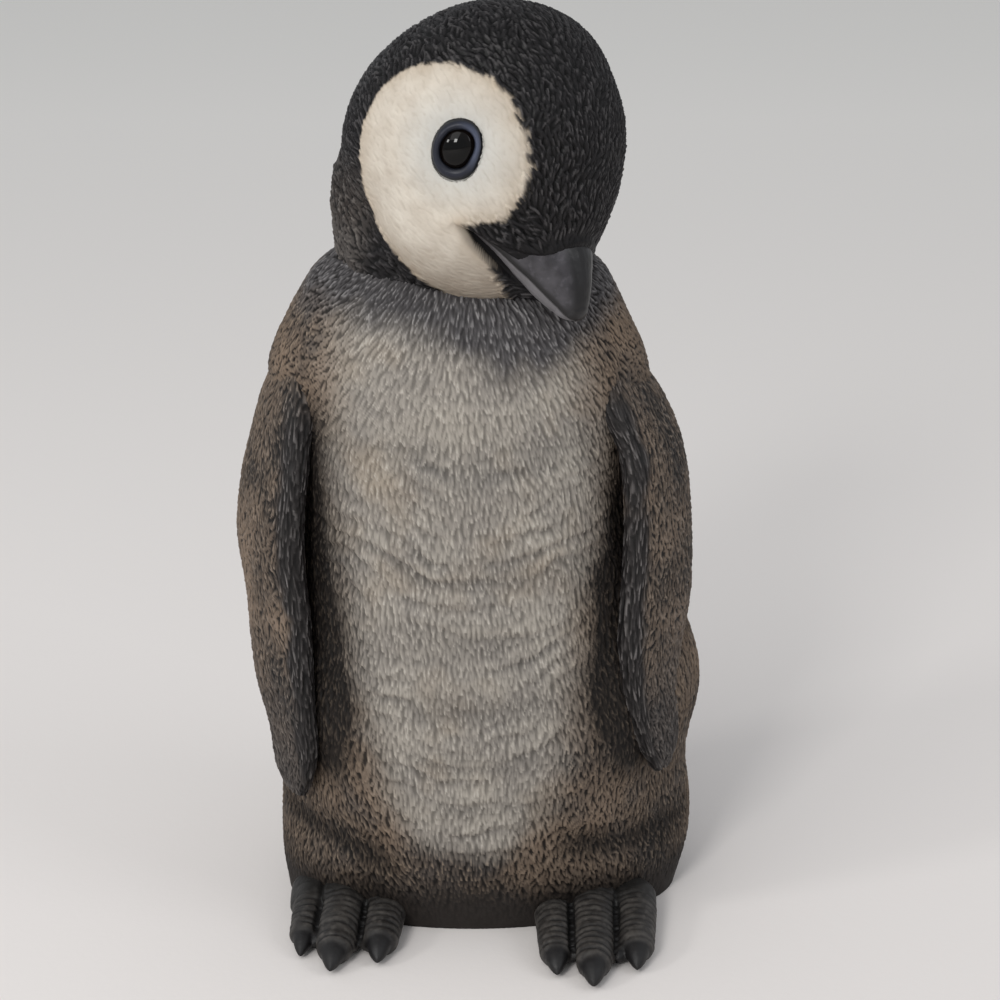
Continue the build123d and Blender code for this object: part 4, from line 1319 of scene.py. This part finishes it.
# %% Finish helpers
class Finish:
    """A material built from paint colours, masks and noise."""

    def __init__(self, name):
        self.material = bpy.data.materials.new(name)
        self.material.use_nodes = True
        self.tree = self.material.node_tree
        self.shader = self.tree.nodes["Principled BSDF"]
        self.place = self.tree.nodes.new("ShaderNodeNewGeometry").outputs["Position"]

    def mask(self, key):
        """One of the masks kept on the mesh."""
        node = self.tree.nodes.new("ShaderNodeAttribute")
        node.attribute_name = key
        return node.outputs["Fac"]

    def speckle(self, size, detail=3.0, seed=0.0):
        """Noise from 0 to 1 with spots of the given size in millimetres."""
        node = self.tree.nodes.new("ShaderNodeTexNoise")
        node.noise_dimensions = "4D"
        node.inputs["Scale"].default_value = 1 / (size * MM)
        node.inputs["Detail"].default_value = detail
        node.inputs["W"].default_value = seed
        self.tree.links.new(self.place, node.inputs["Vector"])
        return node.outputs["Fac"]

    def times(self, a, b):
        """Two values multiplied, each a socket or a number."""
        node = self.tree.nodes.new("ShaderNodeMath")
        node.operation = "MULTIPLY"
        for socket, value in zip(node.inputs, (a, b)):
            self.put(socket, value)
        return node.outputs[0]

    def spread(self, value, low, high, new_low=0.0, new_high=1.0):
        """A value stretched from one range to another, held inside it."""
        node = self.tree.nodes.new("ShaderNodeMapRange")
        node.inputs["From Min"].default_value, node.inputs["From Max"].default_value = low, high
        node.inputs["To Min"].default_value, node.inputs["To Max"].default_value = new_low, new_high
        self.tree.links.new(value, node.inputs["Value"])
        return node.outputs["Result"]

    def put(self, socket, value):
        """Links a socket or sets a plain value."""
        if isinstance(value, bpy.types.NodeSocket):
            self.tree.links.new(value, socket)
        else:
            socket.default_value = value

    def mix(self, a, b, share, blend="MIX"):
        """Two colours mixed by a share."""
        node = self.tree.nodes.new("ShaderNodeMix")
        node.data_type = "RGBA"
        node.blend_type = blend
        self.put(node.inputs["Factor"], share)
        for key, value in (("A", a), ("B", b)):
            socket = next(s for s in node.inputs if s.name == key and s.type == "RGBA")
            self.put(socket, (*value, 1.0) if isinstance(value, tuple) else value)
        return next(s for s in node.outputs if s.type == "RGBA")

    def bump(self, value, strength, distance):
        """Fine relief from a value, added to what is there."""
        node = self.tree.nodes.new("ShaderNodeBump")
        node.inputs["Strength"].default_value = strength
        node.inputs["Distance"].default_value = distance * MM
        self.tree.links.new(value, node.inputs["Height"])
        if self.shader.inputs["Normal"].is_linked:
            self.tree.links.new(self.shader.inputs["Normal"].links[0].from_socket, node.inputs["Normal"])
        self.tree.links.new(node.outputs["Normal"], self.shader.inputs["Normal"])

    def finish(self, colour, roughness, **constants):
        """Sets the colour, the roughness and the shader's plain values."""
        self.put(self.shader.inputs["Base Color"], colour)
        self.put(self.shader.inputs["Roughness"], roughness)
        for key, value in constants.items():
            self.shader.inputs[key.replace("_", " ")].default_value = value
        return self.material


print("finishes are built from", ", ".join(k for k in vars(Finish) if not k.startswith("_")))

# %% [markdown]
# The down is painted in three coats, on the body, the head and the flippers alike.
# First comes the ground colour, which changes with the masks. Then a nearly black
# wash settles in the grooves. Last, a dry brush leaves a pale colour on the ridges,
# more on some strokes than on others. Dry paint is matt, so the sheen is low.

# %% Down of the body
wash_black = (0.006, 0.005, 0.0045)


def body_finish():
    """Brown down with a pale belly, a dark collar and a bare dark hem."""
    dark_brown, warm_brown, grey_brown = (0.026, 0.021, 0.018), (0.165, 0.122, 0.090), (0.050, 0.045, 0.043)
    grey_cream, cream, stain = (0.225, 0.206, 0.184), (0.300, 0.275, 0.240), (0.27, 0.215, 0.155)
    fold_shade_grey, collar_grey = (0.110, 0.103, 0.097), (0.058, 0.055, 0.057)
    hollow_shade_black, hem_brown = (0.008, 0.0065, 0.006), (0.022, 0.018, 0.016)
    brushed_tan, brushed_cream, brushed_grey = (0.28, 0.218, 0.162), (0.50, 0.465, 0.412), (0.28, 0.27, 0.27)
    f = Finish("body_paint")
    groove, tint, fold, belly = (f.mask(k) for k in ("groove", "tint", "fold", "belly"))
    collar, hem, tan, deep = (f.mask(k) for k in ("collar", "hem", "tan", "deep"))
    brown = f.mix(dark_brown, warm_brown, f.spread(tan, 0.15, 0.85))
    brown = f.mix(brown, grey_brown, f.spread(f.speckle(9.0, 2.0, 3.0), 0.45, 0.70, 0.0, 0.9))
    pale = f.mix(grey_cream, cream, f.spread(f.speckle(8.0, 2.0, 1.0), 0.35, 0.65))
    pale = f.mix(pale, stain, f.spread(f.speckle(12.0, 2.0, 2.0), 0.52, 0.75, 0.0, 0.6))
    # painted shade in the belly folds and valleys
    pale = f.mix(pale, fold_shade_grey, f.times(fold, 0.7))
    colour = f.mix(brown, pale, belly)
    colour = f.mix(colour, collar_grey, collar)
    # painted shade in the gaps, grooves and crease, and under the flippers
    colour = f.mix(colour, hollow_shade_black, f.times(deep, 0.96))
    colour = f.mix(colour, hem_brown, hem)
    wash = f.times(f.spread(groove, 0.45, 0.95, 0.0, 0.92), f.spread(belly, 0.0, 1.0, 1.0, 0.42))
    colour = f.mix(colour, wash_black, wash)
    light = f.mix(f.mix(brushed_tan, brushed_cream, belly), brushed_grey, collar)
    brush = f.times(f.spread(groove, 0.42, 0.0), f.spread(tint, 0.2, 1.0, 0.08, 0.70))
    brush = f.times(brush, f.spread(deep, 0.0, 1.0, 1.0, 0.30))
    colour = f.mix(colour, light, f.times(brush, f.spread(hem, 0.0, 1.0, 1.0, 0.12)))
    f.bump(f.speckle(0.35, 2.0, 5.0), 0.35, 0.10)
    return f.finish(colour, f.spread(f.speckle(3.0), 0.3, 0.7, 0.55, 0.72), Specular_IOR_Level=0.16)


body_paint = body_finish()
print(body_paint.name, len(body_paint.node_tree.nodes), "nodes")

# %% [markdown]
# The head has two coats side by side: a nearly black cap, a little glossy, and the
# cream patch. The patch is whitest round the eye and yellows towards its edge. Towards
# its lower lobe it darkens with tan and painted shade. The cap turns brown down the
# nape, where it meets the body.

# %% Down of the head
def head_finish():
    """A black cap, a cream patch round the eye and the bare edge of the mouth."""
    cap_black, cap_grey, nape_brown = (0.0065, 0.006, 0.007), (0.015, 0.014, 0.0145), (0.036, 0.030, 0.027)
    seam_grey, groove_black = (0.075, 0.068, 0.064), (0.002, 0.002, 0.002)
    mouth_black = (0.006, 0.0055, 0.006)
    brushed_cap, brushed_nape = (0.070, 0.066, 0.067), (0.160, 0.145, 0.130)
    warm_white, bright_white, cool_white = (0.50, 0.45, 0.385), (0.60, 0.555, 0.485), (0.50, 0.505, 0.485)
    edge_tan, groove_tan = (0.40, 0.315, 0.225), (0.30, 0.255, 0.20)
    low_tan_and_shade, blotch = (0.22, 0.18, 0.14), (0.47, 0.425, 0.36)
    f = Finish("head_paint")
    groove, tint, cream, edge, eye = (f.mask(k) for k in ("groove", "tint", "cream", "edge", "eye"))
    nape, bare, seam, low = (f.mask(k) for k in ("nape", "bare", "seam", "low"))
    cap = f.mix(cap_black, cap_grey, f.speckle(5.0, 2.0, 1.0))
    cap = f.mix(cap, nape_brown, nape)
    cap = f.mix(cap, seam_grey, f.times(seam, 0.8))
    ridge = f.times(f.spread(groove, 0.34, 0.02), f.spread(tint, 0.30, 1.0, 0.05, 0.80))
    cap = f.mix(cap, f.mix(brushed_cap, brushed_nape, nape), ridge)
    cap = f.mix(cap, groove_black, f.spread(groove, 0.55, 0.95, 0.0, 0.8))
    white = f.mix(warm_white, bright_white, f.spread(f.speckle(3.0, 3.0, 2.0), 0.35, 0.65))
    white = f.mix(white, cool_white, f.spread(eye, 4.0, 11.0, 0.85, 0.0))
    tanned = f.times(edge, f.spread(f.speckle(5.0, 2.0, 4.0), 0.3, 0.7, 0.4, 1.0))
    white = f.mix(white, edge_tan, f.times(tanned, 0.75))
    white = f.mix(white, groove_tan, f.spread(groove, 0.5, 1.0, 0.0, 0.35))
    # tan and painted shade on the lower patch
    white = f.mix(white, low_tan_and_shade, f.times(low, 0.75))
    white = f.mix(white, blotch, f.spread(f.speckle(1.6, 3.0, 9.0), 0.50, 0.75, 0.0, 0.35))
    colour = f.mix(cap, white, cream)
    colour = f.mix(colour, mouth_black, bare)
    f.bump(f.speckle(0.30, 2.0, 5.0), 0.30, 0.08)
    return f.finish(colour, f.spread(cream, 0.0, 1.0, 0.42, 0.68), Specular_IOR_Level=0.14)


head_paint = head_finish()
print(head_paint.name, len(head_paint.node_tree.nodes), "nodes")

# %% [markdown]
# The flippers repeat the brown of the flanks, with a black front edge and dark tips.
# They could share the body's finish, but they need their own masks and a slightly
# higher sheen, because the long feathers of the edge are smoother.

# %% Down of the flippers
def flipper_finish():
    """Brown mottled flippers with a black front edge."""
    dark_brown, warm_brown, tip_grey = (0.028, 0.023, 0.020), (0.170, 0.126, 0.093), (0.034, 0.031, 0.031)
    edge_black, groove_black = (0.015, 0.013, 0.013), (0.004, 0.0035, 0.0035)
    brushed_tan, brushed_grey = (0.27, 0.215, 0.168), (0.185, 0.172, 0.168)
    brushed_tip = (0.150, 0.138, 0.130)
    f = Finish("flipper_paint")
    groove, tint, leading, tan, tip = (f.mask(k) for k in ("groove", "tint", "leading", "tan", "tip"))
    face = f.mix(dark_brown, warm_brown, f.spread(tan, 0.15, 0.85))
    face = f.mix(face, tip_grey, f.times(tip, 0.85))
    colour = f.mix(face, edge_black, leading)
    colour = f.mix(colour, groove_black, f.spread(groove, 0.45, 0.92, 0.0, 0.95))
    brush = f.times(f.spread(groove, 0.42, 0.0), f.spread(tint, 0.2, 1.0, 0.08, 0.72))
    light = f.mix(f.mix(brushed_tan, brushed_grey, leading), brushed_tip, f.times(tip, 0.8))
    colour = f.mix(colour, light, brush)
    f.bump(f.speckle(0.35, 2.0, 5.0), 0.35, 0.10)
    return f.finish(colour, f.spread(f.speckle(3.0), 0.3, 0.7, 0.50, 0.68), Specular_IOR_Level=0.25)


flipper_paint = flipper_finish()
print(flipper_paint.name, len(flipper_paint.node_tree.nodes), "nodes")

# %% [markdown]
# The bill is smooth and carries a satin varnish over a slate ground with lighter
# flecks. Its ridge and the line of the mouth are black. The lower half is a paler
# grey, which is what makes the thin strip under the mouth stand out.

# %% Bill finishes
def bill_finish():
    """The upper bill: slate with a black ridge."""
    slate, pale_slate, fleck = (0.020, 0.0185, 0.0215), (0.058, 0.055, 0.062), (0.130, 0.125, 0.140)
    ridge_black, mouth_black = (0.006, 0.0055, 0.0062), (0.005, 0.0045, 0.005)
    f = Finish("beak_paint")
    ridge, mouth = f.mask("ridge"), f.mask("mouth")
    colour = f.mix(slate, pale_slate, f.spread(f.speckle(2.2, 3.0, 1.0), 0.3, 0.7))
    colour = f.mix(colour, fleck, f.spread(f.speckle(1.2, 4.0, 6.0), 0.55, 0.80, 0.0, 0.5))
    colour = f.mix(colour, ridge_black, ridge)
    colour = f.mix(colour, mouth_black, mouth)
    f.bump(f.speckle(0.5, 3.0, 2.0), 0.25, 0.10)
    return f.finish(colour, f.spread(f.speckle(1.5), 0.3, 0.7, 0.32, 0.44), Specular_IOR_Level=0.42)


def lower_bill_finish():
    """The lower bill: pale grey, darker to the back."""
    grey, pale_grey, back_grey = (0.105, 0.101, 0.106), (0.150, 0.144, 0.151), (0.070, 0.067, 0.073)
    mouth_black = (0.010, 0.009, 0.010)
    f = Finish("lower_beak_paint")
    mouth, back = f.mask("mouth"), f.mask("back")
    colour = f.mix(grey, pale_grey, f.speckle(1.6, 2.0, 3.0))
    colour = f.mix(colour, back_grey, f.spread(back, 13.0, 18.0))
    colour = f.mix(colour, mouth_black, mouth)
    f.bump(f.speckle(0.5, 3.0, 2.0), 0.25, 0.10)
    return f.finish(colour, 0.45, Specular_IOR_Level=0.5)


beak_paint, lower_beak_paint = bill_finish(), lower_bill_finish()
print(beak_paint.name, lower_beak_paint.name)

# %% [markdown]
# The eye is black glass, so what is seen of it is reflection: a very low roughness
# keeps the highlights sharp. A clear glass shader over a dark iris would be truer,
# but a bead this dark looks the same and renders without noise. The lid is painted
# blue black, with a painted light blue highlight on its upper front, where the light
# falls on it.

# %% Eye finishes
def glass_finish():
    """A black glass bead, a little browner away from its middle."""
    pupil_black, iris_black = (0.0010, 0.0009, 0.0009), (0.0045, 0.003, 0.0025)
    f = Finish("eye_glass_paint")
    colour = f.mix(pupil_black, iris_black, f.spread(f.mask("from_middle"), 0.30, 0.55))
    return f.finish(colour, 0.05, Specular_IOR_Level=0.22)


def lid_finish():
    """A blue black lid with a painted highlight on its upper front."""
    blue_black, lid_blue, highlight_blue = (0.004, 0.005, 0.008), (0.011, 0.013, 0.023), (0.060, 0.071, 0.110)
    f = Finish("eyelid_paint")
    rise, high = f.mask("rise"), f.mask("high")
    colour = f.mix(blue_black, lid_blue, f.spread(rise, 0.1, 0.75))
    # painted highlight on the lid's upper front
    brush = f.times(f.spread(high, 0.6, 1.0), f.spread(rise, 0.3, 0.75))
    colour = f.mix(colour, highlight_blue, brush)
    return f.finish(colour, f.spread(f.speckle(1.0), 0.3, 0.7, 0.36, 0.48), Specular_IOR_Level=0.32)


eye_paint, lid_paint = glass_finish(), lid_finish()
print(eye_paint.name, lid_paint.name)

# %% [markdown]
# The feet are a dark leathery brown with lighter flecks on the folds, and black claws.
# They lie in the shade of the hem, so a mask paints that shade on them, darker
# towards the body. Under the base lies a disc of felt, which is plain dark fibre.

# %% Feet and felt finishes
def foot_finish():
    """Dark leathery feet with black seams and claws."""
    leather, pale_leather = (0.012, 0.0105, 0.010), (0.026, 0.023, 0.021)
    fleck, brushed = (0.085, 0.076, 0.068), (0.080, 0.073, 0.066)
    seam_black, claw_black = (0.006, 0.0055, 0.0055), (0.0055, 0.005, 0.0055)
    shade_black = (0.007, 0.0065, 0.006)
    f = Finish("foot_paint")
    groove, claw, shade = f.mask("groove"), f.mask("claw"), f.mask("shade")
    colour = f.mix(leather, pale_leather, f.spread(f.speckle(2.5, 3.0, 1.0), 0.3, 0.7))
    colour = f.mix(colour, fleck, f.spread(f.speckle(1.1, 3.0, 4.0), 0.50, 0.75, 0.0, 0.6))
    patches = f.spread(f.speckle(2.2, 2.0, 7.0), 0.42, 0.62, 0.0, 0.55)
    colour = f.mix(colour, brushed, f.times(f.spread(groove, 0.30, 0.0), patches))
    colour = f.mix(colour, seam_black, f.spread(groove, 0.25, 0.9))
    colour = f.mix(colour, claw_black, claw)
    colour = f.mix(colour, shade_black, f.times(shade, 0.85))
    f.bump(f.speckle(0.6, 3.0, 2.0), 0.4, 0.15)
    return f.finish(colour, f.spread(f.speckle(1.5), 0.3, 0.7, 0.48, 0.66), Specular_IOR_Level=0.4)


def felt_finish():
    """Dark felt with a fine fibre."""
    felt_black, felt_grey = (0.010, 0.010, 0.011), (0.035, 0.035, 0.038)
    f = Finish("felt_cloth")
    colour = f.mix(felt_black, felt_grey, f.speckle(0.3, 4.0, 2.0))
    f.bump(f.speckle(0.15, 3.0, 2.0), 0.8, 0.15)
    return f.finish(colour, 0.95, Specular_IOR_Level=0.1)


foot_paint, felt_cloth = foot_finish(), felt_finish()
print(foot_paint.name, felt_cloth.name)

# %% [markdown]
# Each sculpted piece now takes its paint, rides with the one rigid body of the
# figurine and stands for the plain solid that it covers. Only the felt pad keeps its
# solid, because a flat disc has nothing to sculpt.

# %% Dress the pieces
def dress(piece, material, slot, *nodes):
    """Gives a piece its material and hides the nodes that it stands for; the slot is not used."""
    piece.data.materials.clear()
    piece.data.materials.append(material)
    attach(piece, "root")
    if nodes:
        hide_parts(*nodes)


dress(body_piece, body_paint, "body_resin", "torso")
dress(head_piece, head_paint, "head_resin", "head")
dress(upper_beak, beak_paint, "bill_resin", "upper_bill")
dress(lower_beak, lower_beak_paint, "bill_resin", "lower_bill")
for _, name in both_sides:
    dress(eye_pieces[name], eye_paint, "eye_glass", f"{name}_eye")
    dress(lid_pieces[name], lid_paint, "rim_resin", f"{name}_eye_rim")
    dress(flipper_pieces[name], flipper_paint, "flipper_resin", f"{name}_flipper")
    dress(foot_pieces[name], foot_paint, "foot_resin", f"{name}_foot")
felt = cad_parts["felt_pad"]
felt.data.materials.clear()
felt.data.materials.append(felt_cloth)
print("dressed", 4 + 4 * len(both_sides), "pieces and the felt pad")

# %% [markdown]
# The photograph was taken indoors on a pale cloth. A wide plain floor takes the soft
# shadow. It is a little brighter to the back for the camera alone, as the cloth is,
# which puts no extra light on the figurine.

# %% Floor
def floor_finish():
    """Pale cloth that glows faintly towards the back where the camera sees it."""
    warm_cloth, cool_cloth, glow = (0.80, 0.765, 0.745), (0.78, 0.765, 0.735), (1.0, 0.985, 0.955, 1.0)
    f = Finish("floor_cloth")
    split = f.tree.nodes.new("ShaderNodeSeparateXYZ")
    f.tree.links.new(f.place, split.inputs[0])
    colour = f.mix(warm_cloth, cool_cloth, f.spread(split.outputs["Y"], 0.0, 1.2))
    f.bump(f.speckle(1.2, 3.0, 1.0), 0.15, 0.2)
    seen = f.tree.nodes.new("ShaderNodeLightPath").outputs["Is Camera Ray"]
    strength = f.times(seen, f.spread(split.outputs["Y"], -0.05, 0.9, 0.0, 0.09))
    f.put(f.shader.inputs["Emission Color"], glow)
    f.put(f.shader.inputs["Emission Strength"], strength)
    return f.finish(colour, 0.9, Specular_IOR_Level=0.1)


floor_mesh = bpy.data.meshes.new("floor")
floor_mesh.from_pydata([(-6, -2, 0), (6, -2, 0), (6, 9, 0), (-6, 9, 0)], [], [(0, 1, 2, 3)])
floor = bpy.data.objects.new("floor", floor_mesh)
floor_mesh.materials.append(floor_finish())
bpy.context.scene.collection.objects.link(floor)
print("floor", [round(v, 1) for v in floor.dimensions], "m")

# %% [markdown]
# A large soft lamp above and to the left makes the form read, and a weaker one fills
# the other side. Two small lamps stand in for windows: they add little light, but the
# glass eye and the bill mirror them as bright spots. The world lights the rest.

# %% Light
def lamp(name, place, size, power, colour):
    """A soft square lamp that looks at the middle of the body."""
    data = bpy.data.lights.new(name, "AREA")
    data.size, data.energy, data.color = size, power, colour
    piece = bpy.data.objects.new(name, data)
    piece.location = Vector(place)
    piece.rotation_mode = "QUATERNION"
    piece.rotation_quaternion = (piece.location - Vector(aim * MM)).to_track_quat("Z", "Y")
    bpy.context.scene.collection.objects.link(piece)


# Name, place in metres, size in metres, power in watts, colour
lamps = [
    ("key", (-0.45, -0.70, 1.00), 0.8, 3.4, (1.0, 0.985, 0.96)),
    ("fill", (0.85, -0.45, 0.65), 0.5, 1.6, (0.97, 0.98, 1.0)),
    ("window", (-0.30, -0.78, 0.54), 0.20, 3.0, (1.0, 0.99, 0.97)),
    ("glint", (-0.80, -0.44, 0.52), 0.15, 1.5, (1.0, 0.99, 0.97)),
]
world_colour, world_strength = (0.95, 0.97, 1.0, 1.0), 0.52
for settings in lamps:
    lamp(*settings)
world = bpy.data.worlds.new("world")
world.use_nodes = True
world.node_tree.nodes["Background"].inputs["Color"].default_value = world_colour
world.node_tree.nodes["Background"].inputs["Strength"].default_value = world_strength
bpy.context.scene.world = world
bpy.context.scene.view_settings.view_transform = "Standard"
print("lamps", [settings[0] for settings in lamps])

# %% [markdown]
